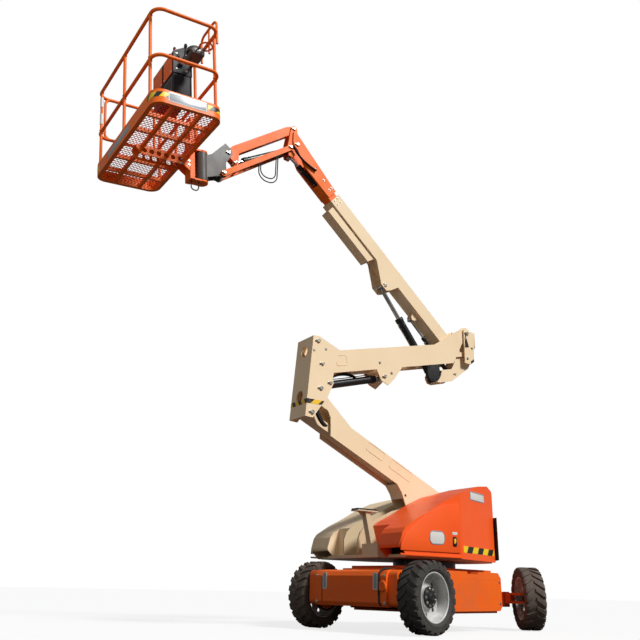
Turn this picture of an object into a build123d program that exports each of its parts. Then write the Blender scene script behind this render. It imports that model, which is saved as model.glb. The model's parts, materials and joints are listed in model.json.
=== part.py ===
"""Articulating boom lift: a wheeled chassis, a swinging turntable, a two-arm tower, a telescoping boom,
a jib and a work platform.  Millimetres, +Z up, +X towards the platform end, origin on the ground under
the slew axis.  Every boom lies in one upright plane, turned by SWING about the slew axis."""

import os
from math import atan2, cos, degrees, hypot, radians, sin, tan

from build123d import *

os.makedirs("parts", exist_ok=True)

# ---------------------------------------------------------------- driving dimensions: chassis
WHEELBASE = 2010.0
TRACK = 1500.0
TYRE_D = 700.0
TYRE_W = 240.0
RIM_D = 470.0
RIM_W = 190.0
RIM_T = 10.0
HUB_D = 200.0
LUG_H = 14.0
LUGS = 22
KINGPIN_OFFSET = 90.0
STEER_ANGLE = 44.0

FRAME_HALF = 370.0
FRAME_TOP = 655.0
BOX_HALF = 655.0
BOX_LENGTH = 1170.0
BOX_LOW = 212.0
BOX_TOP = 618.0
DRIVE_FRONT = 1312.0
DRIVE_HALF = 485.0
DRIVE_LOW = 248.0
DRIVE_TOP = 602.0
TIE_R = 25.0
TIE_T = 25.0

BEARING_R = 360.0
DECK_LOW = 730.0
DECK_T = 30.0

# ---------------------------------------------------------------- driving dimensions: booms
SWING = -12.57
WALL = 8.0
PIN_R = 25.0
RUN = 0.05

PLATE_IN = 122.0
PLATE_T = 18.0

LOWER_PIVOT = (-620.0, 1479.0)
LOWER_L = 2450.0
LOWER_ANGLE = 25.0
LOWER_HALF = 112.0
LOWER_DROP = 150.0
LOWER_DEPTH = 235.0
LINK_SPAN = (110.0, -286.0)
LINK_HALF = 75.0
LINK_DEPTH = 88.0

UPRIGHT_HALF = 166.0
UPRIGHT_T = 16.0
UPRIGHT_GAP = (48.0, 550.0)

MID_L = 2456.0
MID_ANGLE = 14.0
MID_HALF = 130.0
MID_DROP = 118.0
MID_DEPTH = 260.0
MID_BOX_L = 720.0
MID_LINK_SPAN = (-62.0, -262.0)
MID_LINK_OUT = 112.0
MID_LINK_T = 14.0
MID_LINK_DEPTH = 60.0

CARRIER_IN = 140.0
CARRIER_T = 16.0
ARM_IN = 70.0
ARM_T = 16.0

MAIN_ANGLE = 40.3
BASE_L = 2740.0
BASE_HALF = 95.0
BASE_DROP = 86.0
BASE_DEPTH = 175.0
FLY_HALF = 70.0
FLY_DROP = 109.0
FLY_DEPTH = 129.0
FLY_IN = 520.0
FLY_NOSE = (3541.0, -105.0)

BRACKET_TOP = (49.0, 221.0)
JIB_SPAN = (48.0, -300.0)
JIB_L = 1104.0
JIB_ANGLE = -38.0
JIB_HALF = 45.0
JIB_LOW = 45.0
JIB_TOP = 66.0
JIB_LINK_IN = 70.0
JIB_LINK_T = 20.0
JIB_LINK_DEPTH = 66.0

PLATFORM_TILT = 5.9
PLATFORM_SPAN = (853.10687, -279.08708)
ROTATOR_A = -550.0
ROTATOR_W = -237.0
ROTATOR_R = 75.0
ROTATOR_TALL = 345.0
ROTATOR_PIN = 32.0
PLATFORM_W = 1830.0
PLATFORM_D = 760.0
PLATFORM_GAP = 160.0
RAIL_H = 1130.0
RAIL_R = 19.0
KICK_H = 150.0
BEARER = 32.0
BACK_A = -392.0
BACK_TALL = 780.0
BEAM_HALF = 65.0
BEAM_TALL = 110.0
BEAM_FRONT = 240.0
BEAM_HOLES = 6
BEAM_PITCH = 82.0
HOSE_R = 7.0


def turned(vector, angle):
    """The pair (x, z) turned by an angle in degrees, upward positive."""
    x, z = vector
    c, s = cos(radians(angle)), sin(radians(angle))
    return (x * c - z * s, x * s + z * c)


def moved(point, vector):
    return (point[0] + vector[0], point[1] + vector[1])


def boom_plane(origin=(0.0, 0.0), angle=0.0, side=0.0):
    """A drawing plane in the boom's upright plane: x along the angle, y upward, normal to the right.
    side is how far to the left of the middle it lies."""
    swing = radians(SWING)
    ahead = Vector(cos(swing), sin(swing), 0)
    left = Vector(-sin(swing), cos(swing), 0)
    along = ahead * cos(radians(angle)) + Vector(0, 0, 1) * sin(radians(angle))
    place = ahead * origin[0] + left * side + Vector(0, 0, origin[1])
    return Plane(origin=place, x_dir=along, z_dir=left * -1)


def below(point, angle, half=0.0):
    """The place straight below a point on a sloping member, where a hose's end meets its underside."""
    slope = radians(abs(angle))
    return (point[0], point[1] - half / cos(slope) - HOSE_R * tan(slope) - 0.1)


def deck_plane(z=0.0, tilt=0.0, origin=(0.0, 0.0)):
    """A level drawing plane on the turntable: x ahead, y left, normal up."""
    swing = radians(SWING)
    ahead = Vector(cos(swing), sin(swing), 0)
    left = Vector(-sin(swing), cos(swing), 0)
    up = ahead * sin(radians(tilt)) + Vector(0, 0, 1) * cos(radians(tilt))
    along = ahead * cos(radians(tilt)) - Vector(0, 0, 1) * sin(radians(tilt))
    place = ahead * origin[0] + Vector(0, 0, z + origin[1])
    return Plane(origin=place, x_dir=along, z_dir=up)


# ---------------------------------------------------------------- where the pins lie, boom plane (x, z)
lower_end = moved(LOWER_PIVOT, turned((LOWER_L, 0), LOWER_ANGLE))
link_pivot = moved(LOWER_PIVOT, LINK_SPAN)
link_end = moved(lower_end, LINK_SPAN)
mid_pivot = moved(lower_end, UPRIGHT_GAP)
mid_end = moved(mid_pivot, turned((-MID_L, 0), -MID_ANGLE))
mid_link_pivot = moved(mid_pivot, MID_LINK_SPAN)
main_pivot = moved(mid_end, MID_LINK_SPAN)
knuckle = moved(main_pivot, turned(FLY_NOSE, MAIN_ANGLE))
jib_top = moved(knuckle, BRACKET_TOP)
jib_low = moved(jib_top, JIB_SPAN)
head_top = moved(jib_top, turned((JIB_L, 0), JIB_ANGLE))
head_low = moved(jib_low, turned((JIB_L, 0), JIB_ANGLE))
mid_link_end = main_pivot
PLATFORM_AT = moved(head_top, PLATFORM_SPAN)
rotator_base = moved(PLATFORM_AT, turned((ROTATOR_A, ROTATOR_W), -PLATFORM_TILT))

# ---------------------------------------------------------------- cylinders: their pins in the boom plane
LOWER_BASE = (-820.0, 820.0)
LOWER_LUG = (707.0, -511.0)
TOWER_BASE = (-129.0, 82.0)
TOWER_LUG = (-905.0, -471.0)
MAIN_BASE = (560.0, -420.0)
MAIN_LUG = (1485.0, -415.0)
MASTER_BASE = (240.0, -320.0)
MASTER_LUG = (900.0, -360.0)
LEVEL_BASE = (2960.0, -182.0)
LEVEL_LUG = (75.0, -165.0)
JIB_LUG = (1060.0, -125.0)

lower_base = LOWER_BASE
lower_lug = moved(LOWER_PIVOT, turned(LOWER_LUG, LOWER_ANGLE))
tower_base = moved(lower_end, TOWER_BASE)
tower_lug = moved(mid_pivot, turned(TOWER_LUG, -MID_ANGLE))
main_base = moved(main_pivot, MAIN_BASE)
main_lug = moved(main_pivot, turned(MAIN_LUG, MAIN_ANGLE))
master_base = moved(main_pivot, MASTER_BASE)
master_lug = moved(main_pivot, turned(MASTER_LUG, MAIN_ANGLE))
level_base = moved(main_pivot, turned(LEVEL_BASE, MAIN_ANGLE))
level_lug = moved(knuckle, LEVEL_LUG)
jib_base = jib_low
jib_lug = moved(jib_top, turned(JIB_LUG, JIB_ANGLE))

# name, base pin, rod pin, barrel radius, rod radius, barrel length, rod length,
# base eye radius, base eye half width, base pin radius, rod eye radius, rod eye half width
CYLINDERS = [
    ("lower_lift", lower_base, lower_lug, 50, 28, 790, 800, 46, 60, 25, 40, 56),
    ("tower_lift", tower_base, tower_lug, 45, 25, 775, 600, 44, 60, 20, 40, 60),
    ("main_lift", main_base, main_lug, 48, 26, 900, 910, 44, 55, 22, 30, 50),
    ("master", master_base, master_lug, 25, 13, 640, 600, 25, 25, 13, 22, 25),
    ("level", level_base, level_lug, 30, 15, 380, 330, 28, 25, 13, 24, 25),
    ("jib_lift", jib_base, jib_lug, 38, 20, 715, 690, 38, 30, 20, 30, 26),
]
WALL_B = 8.0
GLAND = 16.0
PISTON = 24.0


def across(start, target, along=0.0):
    """A drawing plane across the line from start to target, a distance along it, x to the right."""
    dx, dz = target[0] - start[0], target[1] - start[1]
    length = hypot(dx, dz)
    swing = radians(SWING)
    ahead = Vector(cos(swing), sin(swing), 0)
    right = Vector(sin(swing), -cos(swing), 0)
    line = ahead * (dx / length) + Vector(0, 0, dz / length)
    place = ahead * (start[0] + dx / length * along) + Vector(0, 0, start[1] + dz / length * along)
    return Plane(origin=place, x_dir=right, z_dir=line)


# ================================================================ chassis
with BuildPart() as chassis_frame:
    with BuildSketch(Plane.XY.offset(250)):
        Rectangle(1740, 2 * FRAME_HALF)
    extrude(amount=FRAME_TOP - 250)
    vertical = chassis_frame.part.edges().filter_by(Axis.Z)
    fillet(vertical, 30)
    # the yoke over the steer axle
    with BuildSketch(Plane.XY.offset(420)):
        with Locations((-960, 0)):
            Rectangle(380, 440)
    extrude(amount=200)
    # the tie-down lug on the yoke's nose
    with BuildSketch(Plane.XZ.offset(-TIE_T / 2)):
        with BuildLine():
            Polyline((-1140, 440), (-1180, 440), (-1180, 520), (-1140, 520), (-1140, 440))
        make_face()
        with Locations((-1180, 480)):
            Circle(40)
        with Locations((-1180, 480)):
            Circle(TIE_R, mode=Mode.SUBTRACT)
    extrude(amount=TIE_T)
    # the rear of the frame meets the drive axle housing
    with BuildSketch(Plane.XY.offset(250)):
        with Locations((925, 0)):
            Rectangle(150, 2 * FRAME_HALF)
    extrude(amount=FRAME_TOP - 280)
    # side boxes, each with a notch in its top and a floor pan below
    for side in (-1, 1):
        with BuildSketch(Plane.XZ.offset(-side * (FRAME_HALF - 20))):
            with BuildLine():
                Polyline((-585, 260), (-585, 560), (-527, BOX_TOP), (-120, BOX_TOP), (-95, 592), (95, 592),
                         (120, BOX_TOP), (527, BOX_TOP), (585, 560), (585, 260), (537, BOX_LOW),
                         (-537, BOX_LOW), (-585, 260))
            make_face()
        extrude(amount=-side * (BOX_HALF - FRAME_HALF + 20))
    with BuildSketch(Plane.XY.offset(190)):
        Rectangle(1060, 2 * BOX_HALF - 80)
    extrude(amount=BOX_LOW - 190)
chassis_frame.part.label = "chassis_frame"
export_step(chassis_frame.part, "parts/chassis_frame.step")

with BuildPart() as drive_axle:
    with BuildSketch(Plane.XZ.offset(-DRIVE_HALF)):
        with BuildLine():
            Polyline((1000, DRIVE_LOW), (DRIVE_FRONT - 30, DRIVE_LOW), (DRIVE_FRONT, DRIVE_LOW + 40),
                     (DRIVE_FRONT, DRIVE_TOP - 60), (DRIVE_FRONT - 25, DRIVE_TOP - 18),
                     (DRIVE_FRONT - 70, DRIVE_TOP), (1000, DRIVE_TOP), (1000, DRIVE_LOW))
        make_face()
    extrude(amount=2 * DRIVE_HALF)
    for side in (-1, 1):
        # the drive motor's shield, its flange and the spindle that carries the hub
        with BuildSketch(Plane.XZ.offset(-side * 480)):
            with Locations((1040, 425)):
                RectangleRounded(480, 350, 60)
        extrude(amount=-side * 120)
        with BuildSketch(Plane.XZ.offset(-side * 600)):
            with Locations((WHEELBASE / 2, TYRE_D / 2)):
                Circle(150)
        extrude(amount=-side * 60)
        with BuildSketch(Plane.XZ.offset(-side * 660)):
            with Locations((WHEELBASE / 2, TYRE_D / 2)):
                Circle(45)
        extrude(amount=-side * 110)
drive_axle.part.label = "drive_axle"
export_step(drive_axle.part, "parts/drive_axle.step")

KINGPIN_Y = TRACK / 2 - KINGPIN_OFFSET
STEER_X = -WHEELBASE / 2

with BuildPart() as steer_axle:
    with BuildSketch(Plane.XY.offset(250)):
        with Locations((STEER_X, 0)):
            Rectangle(140, 940)
    extrude(amount=170)
    with BuildSketch(Plane.XY.offset(290)):
        with Locations((STEER_X, 0)):
            Rectangle(100, 2 * (KINGPIN_Y - 110))
    extrude(amount=120)
    for side in (-1, 1):
        # two tines hold the kingpin
        for low, high in [(290, 315), (385, 410)]:
            with BuildSketch(Plane.XY.offset(low)):
                with Locations((STEER_X, side * (KINGPIN_Y - 60))):
                    Rectangle(84, 120)
                with Locations((STEER_X, side * KINGPIN_Y)):
                    Circle(42)
            extrude(amount=high - low)
        with BuildSketch(Plane.XY.offset(300)):
            with Locations((STEER_X, side * KINGPIN_Y)):
                Circle(20)
        extrude(amount=100)
    # gussets up to the frame's nose
    with BuildSketch(Plane.YZ.offset(STEER_X - 60)):
        with BuildLine():
            Polyline((-400, 400), (-220, 519), (-220, 400), (-400, 400))
        make_face()
        with BuildLine():
            Polyline((400, 400), (220, 519), (220, 400), (400, 400))
        make_face()
    extrude(amount=120)
steer_axle.part.label = "steer_axle"
export_step(steer_axle.part, "parts/steer_axle.step")

with BuildPart() as slew_bearing:
    with BuildSketch(Plane.XY.offset(FRAME_TOP)):
        Circle(BEARING_R)
        Circle(BEARING_R - 90, mode=Mode.SUBTRACT)
    extrude(amount=DECK_LOW - FRAME_TOP)
    # the worm gear housing at its side
    with BuildSketch(deck_plane(FRAME_TOP)):
        with Locations((330, 210)):
            Rectangle(240, 150, rotation=32)
        with Locations((450, 285)):
            Circle(62)
    extrude(amount=DECK_LOW - FRAME_TOP - 8)
    with BuildSketch(Plane.XY.offset(FRAME_TOP)):
        Circle(BEARING_R - 90)
    extrude(amount=DECK_LOW - FRAME_TOP, mode=Mode.SUBTRACT)
slew_bearing.part.label = "slew_bearing"
export_step(slew_bearing.part, "parts/slew_bearing.step")

# ---------------------------------------------------------------- steering
ARM_L = 150.0
STEER_IN = -ARM_L * sin(radians(STEER_ANGLE))
ROD_X = STEER_X - ARM_L * (1 + cos(radians(STEER_ANGLE))) / 2

with BuildPart() as steer_cylinder:
    with BuildSketch(Plane.XZ.offset(-170)):
        with Locations((ROD_X, 315)):
            Circle(30)
    extrude(amount=340)
    for y in (-90, 90):
        with BuildSketch(Plane.XZ.offset(-y - 15)):
            with Locations(((ROD_X + STEER_X - 70) / 2, 315)):
                Rectangle(STEER_X - 70 - ROD_X, 50)
        extrude(amount=30)
    with BuildSketch(Plane.XZ.offset(-170)):
        with Locations((ROD_X, 315)):
            Circle(14 + RUN)
    extrude(amount=340, mode=Mode.SUBTRACT)
steer_cylinder.part.label = "steer_cylinder"
export_step(steer_cylinder.part, "parts/steer_cylinder.step")

with BuildPart() as steer_rod:
    with BuildSketch(Plane.XZ.offset(-(KINGPIN_Y + STEER_IN))):
        with Locations((ROD_X, 315)):
            Circle(14)
    extrude(amount=2 * KINGPIN_Y)
    for side in (-1, 1):
        with BuildSketch(Plane.XY.offset(300)):
            with Locations((ROD_X, side * KINGPIN_Y + STEER_IN)):
                Circle(24)
        extrude(amount=30)
steer_rod.part.label = "steer_rod"
export_step(steer_rod.part, "parts/steer_rod.step")

for name, side in [("knuckle_left", 1), ("knuckle_right", -1)]:
    with BuildPart() as steer_knuckle:
        hinge_plane = Plane(origin=(STEER_X, side * KINGPIN_Y, 0), x_dir=(cos(radians(STEER_ANGLE)),
                            sin(radians(STEER_ANGLE)), 0), z_dir=(0, 0, 1))
        with BuildSketch(hinge_plane.offset(320)):
            Circle(40)
        extrude(amount=60)
        with BuildSketch(hinge_plane.offset(335)):
            with BuildLine():
                Polyline((0, -22), (-ARM_L, -18), (-ARM_L, 18), (0, 22), (0, -22))
            make_face()
            with Locations((-ARM_L, 0)):
                Circle(22)
        extrude(amount=30)
        # the spindle that carries the hub
        spindle = Plane(origin=hinge_plane.from_local_coords((0, 0, TYRE_D / 2)),
                        x_dir=hinge_plane.x_dir, z_dir=hinge_plane.y_dir * side)
        with BuildSketch(spindle):
            Circle(28)
        extrude(amount=KINGPIN_OFFSET + 20)
        with BuildSketch(hinge_plane.offset(320)):
            Circle(20 + RUN)
        extrude(amount=60, mode=Mode.SUBTRACT)
    steer_knuckle.part.label = name
    export_step(steer_knuckle.part, f"parts/{name}.step")

# ---------------------------------------------------------------- wheels
# name, x, side, turned by, spindle radius
WHEELS = [
    ("drive_left", WHEELBASE / 2, 1, 0.0, 45.0),
    ("drive_right", WHEELBASE / 2, -1, 0.0, 45.0),
    ("steer_left", STEER_X, 1, STEER_ANGLE, 28.0),
    ("steer_right", STEER_X, -1, STEER_ANGLE, 28.0),
]
for name, x, side, angle, spindle_r in WHEELS:
    kingpin = KINGPIN_OFFSET if angle else 0.0
    fore = Vector(cos(radians(angle)), sin(radians(angle)), 0)
    out = Vector(-sin(radians(angle)), cos(radians(angle)), 0) * side
    centre = Vector(x, side * (TRACK / 2 - kingpin), TYRE_D / 2) + out * kingpin
    # the profile plane has x along the axle, outward, and y along a radius
    profile = Plane(origin=centre, x_dir=out, z_dir=fore * side)
    wheel = Plane(origin=centre, x_dir=fore, z_dir=out)
    low, high, half = RIM_D / 2, TYRE_D / 2 - LUG_H, TYRE_W / 2
    with BuildPart() as tyre:
        with BuildSketch(profile):
            with BuildLine():
                Polyline((22 - half, low), (half - 22, low), (half - 4, low + 30), (half, high - 32),
                         (half - 26, high), (26 - half, high), (-half, high - 32), (4 - half, low + 30),
                         (22 - half, low))
            make_face()
        revolve(axis=Axis(centre, out))
        # tread blocks in two rows, half a pitch apart
        for start, lean in [(8 - half, 0.0), (6.0, 180.0 / LUGS)]:
            with BuildSketch(wheel.offset(start)):
                with PolarLocations(high + LUG_H / 2 - 7, LUGS, start_angle=lean):
                    Rectangle(LUG_H + 12, 48)
            extrude(amount=half - 14)
    tyre.part.label = f"{name}_tyre"
    export_step(tyre.part, f"parts/{name}_tyre.step")

    with BuildPart() as rim:
        with BuildSketch(profile):
            with BuildLine():
                Polyline((-40, spindle_r + RUN), (-40, 80), (-22, HUB_D / 2), (-38, low - RIM_T),
                         (-RIM_W / 2, low - RIM_T), (-RIM_W / 2, low), (RIM_W / 2, low),
                         (RIM_W / 2, low - RIM_T), (-24, low - RIM_T), (-8, HUB_D / 2), (30, HUB_D / 2),
                         (42, HUB_D / 2 - 14), (42, 0), (20.5, 0), (20.5, spindle_r + RUN),
                         (-40, spindle_r + RUN))
            make_face()
        revolve(axis=Axis(centre, out))
        with BuildSketch(wheel.offset(-60)):
            with PolarLocations((low + HUB_D / 2) / 2, 8):
                Circle(22)
        extrude(amount=80, mode=Mode.SUBTRACT)
    rim.part.label = f"{name}_rim"
    export_step(rim.part, f"parts/{name}_rim.step")

# ================================================================ turntable
# plan outline of the deck plate: x ahead, y left; the other half mirrors it
DECK_HALF = [(1040, 455), (920, 455), (920, 775), (200, 775), (-640, 465), (-780, 330), (-850, 120)]
SUPPORT_SIDE = [(-850, 755), (1030, 755), (1060, 785), (1060, 925), (1028, 1000), (960, 1065), (890, 1110),
                (580, 1250), (-420, 1520), (-560, 1560), (-690, 1500), (-788, 950), (-850, 870)]

with BuildPart() as turntable_frame:
    with BuildSketch(deck_plane(DECK_LOW)):
        with BuildLine():
            Polyline(*DECK_HALF, *[(x, -y) for x, y in reversed(DECK_HALF)], DECK_HALF[0])
        make_face()
    extrude(amount=DECK_T)
    with BuildSketch(deck_plane(DECK_LOW)):
        Circle(180)
    extrude(amount=DECK_T, mode=Mode.SUBTRACT)
    for side in (-1, 1):
        with BuildSketch(boom_plane(side=side * (PLATE_IN + PLATE_T / 2))):
            Polygon(*SUPPORT_SIDE, align=None)
        extrude(amount=PLATE_T / 2, both=True)
        # bosses outside the plates, and the stub that carries the lower link
        for spot, radius in [(LOWER_PIVOT, 62), (link_pivot, 48)]:
            with BuildSketch(boom_plane(spot, side=side * PLATE_IN)):
                Circle(radius)
            extrude(amount=-side * (PLATE_T + 10))
        with BuildSketch(boom_plane(link_pivot, side=side * (PLATE_IN + 4))):
            Circle(PIN_R)
        extrude(amount=side * (PLATE_IN + 4 - 52))
    for spot in [LOWER_PIVOT, lower_base]:
        with BuildSketch(boom_plane(spot)):
            Circle(PIN_R)
        extrude(amount=PLATE_IN + 4, both=True)
turntable_frame.part.label = "turntable_frame"
export_step(turntable_frame.part, "parts/turntable_frame.step")

HOOD_R = 45.0
HOOD_SIDE = [(940, 735), (1048, 834), (1004, 966), (963, 1018), (794, 1120), (607, 1211), (381, 1335),
             (163, 1429), (-300, 1556), (-560, 1590), (-690, 1540), (-690, 735)]
HOOD_PLAN = [(1060, 470), (1060, 820), (170, 820), (-690, 470), (-690, 162), (880, 162), (880, 470)]
for name, side in [("hood_left", 1), ("hood_right", -1)]:
    with BuildPart() as hood_space:
        with BuildSketch(boom_plane()) as inner_side:
            Polygon(*[(x, z if z > 740 else 640) for x, z in HOOD_SIDE], align=None)
            fillet(inner_side.vertices().filter_by(lambda corner: corner.Y > 740), HOOD_R)
            offset(amount=-WALL, kind=Kind.INTERSECTION)
        extrude(amount=900, both=True)
        with BuildSketch(deck_plane(600)) as inner_plan:
            Polygon(*[(x, side * y) for x, y in HOOD_PLAN], align=None)
            fillet(inner_plan.vertices().filter_by(lambda corner: abs(corner.Y) > 800), HOOD_R)
            offset(amount=-WALL, kind=Kind.INTERSECTION)
        extrude(amount=1100, mode=Mode.INTERSECT)
    with BuildPart() as hood:
        with BuildSketch(boom_plane()) as outer_side:
            Polygon(*HOOD_SIDE, align=None)
            fillet(outer_side.vertices().filter_by(lambda corner: corner.Y > 740), HOOD_R)
        extrude(amount=900, both=True)
        with BuildSketch(deck_plane(600)) as outer_plan:
            Polygon(*[(x, side * y) for x, y in HOOD_PLAN], align=None)
            fillet(outer_plan.vertices().filter_by(lambda corner: abs(corner.Y) > 800), HOOD_R)
        extrude(amount=1100, mode=Mode.INTERSECT)
        add(hood_space.part, mode=Mode.SUBTRACT)
        # the inner walls stand on the deck
        with BuildSketch(deck_plane(DECK_LOW - 40)):
            with BuildLine():
                Polyline(*DECK_HALF, *[(x, -y) for x, y in reversed(DECK_HALF)], DECK_HALF[0])
            make_face()
            offset(amount=6, kind=Kind.INTERSECTION)
        extrude(amount=DECK_T + 40, mode=Mode.SUBTRACT)
    hood.part.label = name
    export_step(hood.part, f"parts/{name}.step")

    with BuildPart() as battery_pack:
        with BuildSketch(deck_plane(DECK_LOW + DECK_T)):
            with Locations((225, side * 410)):
                Rectangle(950, 380)
        extrude(amount=280)
    battery_pack.part.label = name.replace("hood", "battery")
    export_step(battery_pack.part, f"parts/{battery_pack.part.label}.step")

with BuildPart() as counterweight:
    for side in (-1, 1):
        with BuildSketch(deck_plane(DECK_LOW + DECK_T)):
            Polygon(*[(x, side * y) for x, y in [(-698, 150), (-698, 520), (-760, 430), (-835, 250),
                                                 (-862, 150)]], align=None)
        extrude(amount=480)
    with BuildSketch(deck_plane(960)):
        with Locations((-831, 0)):
            Rectangle(62, 302)
    extrude(amount=DECK_LOW + DECK_T + 480 - 960)
counterweight.part.label = "counterweight"
export_step(counterweight.part, "parts/counterweight.step")

with BuildPart() as boom_rest:
    with BuildSketch(deck_plane(DECK_LOW + DECK_T)):
        with Locations((972, 315)):
            Rectangle(135, 270)
    extrude(amount=110)
    with BuildSketch(boom_plane(side=300)):
        Polygon((955, 865), (1035, 865), (1112, 1200), (1052, 1200), align=None)
    extrude(amount=38, both=True)
    with BuildSketch(boom_plane(side=300)):
        Polygon((960, 1196), (1230, 1196), (1230, 1208), (960, 1208), align=None)
    extrude(amount=62, both=True)
    with BuildSketch(boom_plane(side=300)):
        Polygon((1000, 1197), (1190, 1197), (1100, 1130), (1040, 1130), align=None)
    extrude(amount=6, both=True)
boom_rest.part.label = "boom_rest"
export_step(boom_rest.part, "parts/boom_rest.step")

with BuildPart() as rest_pad:
    with BuildSketch(deck_plane(1208)):
        with Locations((1095, 300)):
            Rectangle(262, 116)
    extrude(amount=16)
rest_pad.part.label = "rest_pad"
export_step(rest_pad.part, "parts/rest_pad.step")

# ================================================================ tower
LOWER_SIDE = [(15, 68), (360, -LOWER_DROP), (LOWER_L - 580, -LOWER_DROP), (LOWER_L - 150, -20),
              (LOWER_L - 20, 72), (LOWER_L + 55, -48), (LOWER_L - 50, -110), (LOWER_L - 120, -150),
              (LOWER_L - 220, -148), (LOWER_L - 283, -198), (LOWER_L - 340, -310), (LOWER_L - 374, -385),
              (1026, -385), (930, -440), (820, -545), (690, -572), (640, -500), (650, -385), (235, -385),
              (235, -240), (-25, -65)]
with BuildPart() as lower_boom:
    plane = boom_plane(LOWER_PIVOT, LOWER_ANGLE)
    for side in (-1, 1):
        with BuildSketch(boom_plane(LOWER_PIVOT, LOWER_ANGLE, side * (LOWER_HALF - 6))):
            Polygon(*LOWER_SIDE, align=None)
            Circle(70)
            with Locations((LOWER_L, 0)):
                Circle(75)
            with Locations((870, -443)):
                Circle(16, mode=Mode.SUBTRACT)
        extrude(amount=6, both=True)
        # the lug's pin, a boss outside and a stub inside that stops short of the rod's eye
        with BuildSketch(boom_plane(lower_lug, side=side * 66)):
            Circle(24)
        extrude(amount=-side * (LOWER_HALF + 8 - 66))
    with BuildSketch(plane):
        with BuildLine():
            Polyline((360, -150), (LOWER_L - 580, -150), (LOWER_L - 200, -35), (LOWER_L - 198, -44),
                     (LOWER_L - 578, -159), (360, -159), (360, -150))
        make_face()
        with BuildLine():
            Polyline((1034, -385), (938, -436), (880, -486), (874, -478), (932, -428), (1026, -378),
                     (1034, -385))
        make_face()
    extrude(amount=LOWER_HALF - 6, both=True)
    for spot in [(0, 0), (LOWER_L, 0)]:
        with BuildSketch(plane):
            with Locations(spot):
                Circle(PIN_R + RUN)
        extrude(amount=LOWER_HALF + 10, both=True, mode=Mode.SUBTRACT)
lower_boom.part.label = "lower_boom"
export_step(lower_boom.part, "parts/lower_boom.step")

with BuildPart() as lower_link:
    plane = boom_plane(link_pivot, LOWER_ANGLE)
    with BuildSketch(plane):
        with Locations((LOWER_L / 2, 0)):
            Rectangle(LOWER_L, LINK_DEPTH)
        Circle(48)
        with Locations((LOWER_L, 0)):
            Circle(48)
    extrude(amount=LINK_HALF, both=True)
    # hollow between its ends, and forked at the rear for the lift cylinder
    with BuildSketch(plane):
        with Locations((LOWER_L / 2 + 190, 0)):
            Rectangle(LOWER_L - 600, LINK_DEPTH - 16)
    extrude(amount=LINK_HALF - 8, both=True, mode=Mode.SUBTRACT)
    with BuildSketch(plane):
        with Locations((160, 0)):
            Rectangle(480, 120)
    extrude(amount=55, both=True, mode=Mode.SUBTRACT)
    for spot in [(0, 0), (LOWER_L, 0)]:
        with BuildSketch(plane):
            with Locations(spot):
                Circle(PIN_R + RUN)
        extrude(amount=LINK_HALF + 5, both=True, mode=Mode.SUBTRACT)
lower_link.part.label = "lower_link"
export_step(lower_link.part, "parts/lower_link.step")

# the upright's outline, from a datum beside the lower boom's end pin
UPRIGHT_SIDE = [(201, -328), (119, 617), (40, 625), (-246, 511), (-153, 150), (-168, 100), (-150, 56),
                (-90, -74), (-7, -183), (100, -335)]
upright_datum = moved(lower_end, (-0.45408, -14.41474))
with BuildPart() as upright:
    for side in (-1, 1):
        with BuildSketch(boom_plane(upright_datum, side=side * (UPRIGHT_HALF - UPRIGHT_T / 2))):
            Polygon(*UPRIGHT_SIDE, align=None)
        extrude(amount=UPRIGHT_T / 2, both=True)
    # the front plate, leaning back, with two round holes
    with BuildSketch(boom_plane(upright_datum)):
        Polygon((201, -328), (119, 617), (106, 617), (188, -328), align=None)
    extrude(amount=UPRIGHT_HALF - 4, both=True)
    for rise in (450, -80):
        spot = moved(upright_datum, (201 - (rise + 328) * 82 / 945, rise))
        with BuildSketch(Plane(origin=boom_plane(spot).origin, x_dir=boom_plane().z_dir,
                               z_dir=boom_plane(spot, 5).x_dir)):
            Circle(65)
        extrude(amount=60, both=True, mode=Mode.SUBTRACT)
    for spot, radius in [(lower_end, PIN_R), (link_end, PIN_R), (mid_pivot, PIN_R), (mid_link_pivot, 20),
                         (tower_base, 20)]:
        with BuildSketch(boom_plane(spot)):
            Circle(radius)
        extrude(amount=UPRIGHT_HALF + 6, both=True)
upright.part.label = "upright"
export_step(upright.part, "parts/upright.step")

MID_SIDE = [(-30, 52), (-272, -MID_DROP), (616 - MID_L, -MID_DROP), (24 - MID_L, 87), (-84 - MID_L, -10),
            (53 - MID_L, -70), (339 - MID_L, -378), (-1213, -378), (-1040, -520), (-930, -583), (-840, -520), (-800, -378),
            (-95, -378), (52, -30)]
with BuildPart() as mid_boom:
    plane = boom_plane(mid_pivot, -MID_ANGLE)
    for side in (-1, 1):
        with BuildSketch(boom_plane(mid_pivot, -MID_ANGLE, side * (MID_HALF - 6))):
            Polygon(*MID_SIDE, align=None)
            Circle(60)
            with Locations((-MID_L, 0)):
                Circle(88)
        extrude(amount=6, both=True)
        with BuildSketch(boom_plane(tower_lug, side=side * 78)):
            Circle(22)
        extrude(amount=-side * (MID_HALF + 8 - 78))
    with BuildSketch(plane):
        with Locations((-280 - MID_BOX_L / 2, -MID_DROP - 4)):
            Rectangle(MID_BOX_L, 8)
        with Locations((-440 - 190, -378 + 4)):
            Rectangle(380, 8)
    extrude(amount=MID_HALF - 6, both=True)
    for spot in [(0, 0), (-MID_L, 0)]:
        with BuildSketch(plane):
            with Locations(spot):
                Circle(PIN_R + RUN)
        extrude(amount=MID_HALF + 10, both=True, mode=Mode.SUBTRACT)
mid_boom.part.label = "mid_boom"
export_step(mid_boom.part, "parts/mid_boom.step")

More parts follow.
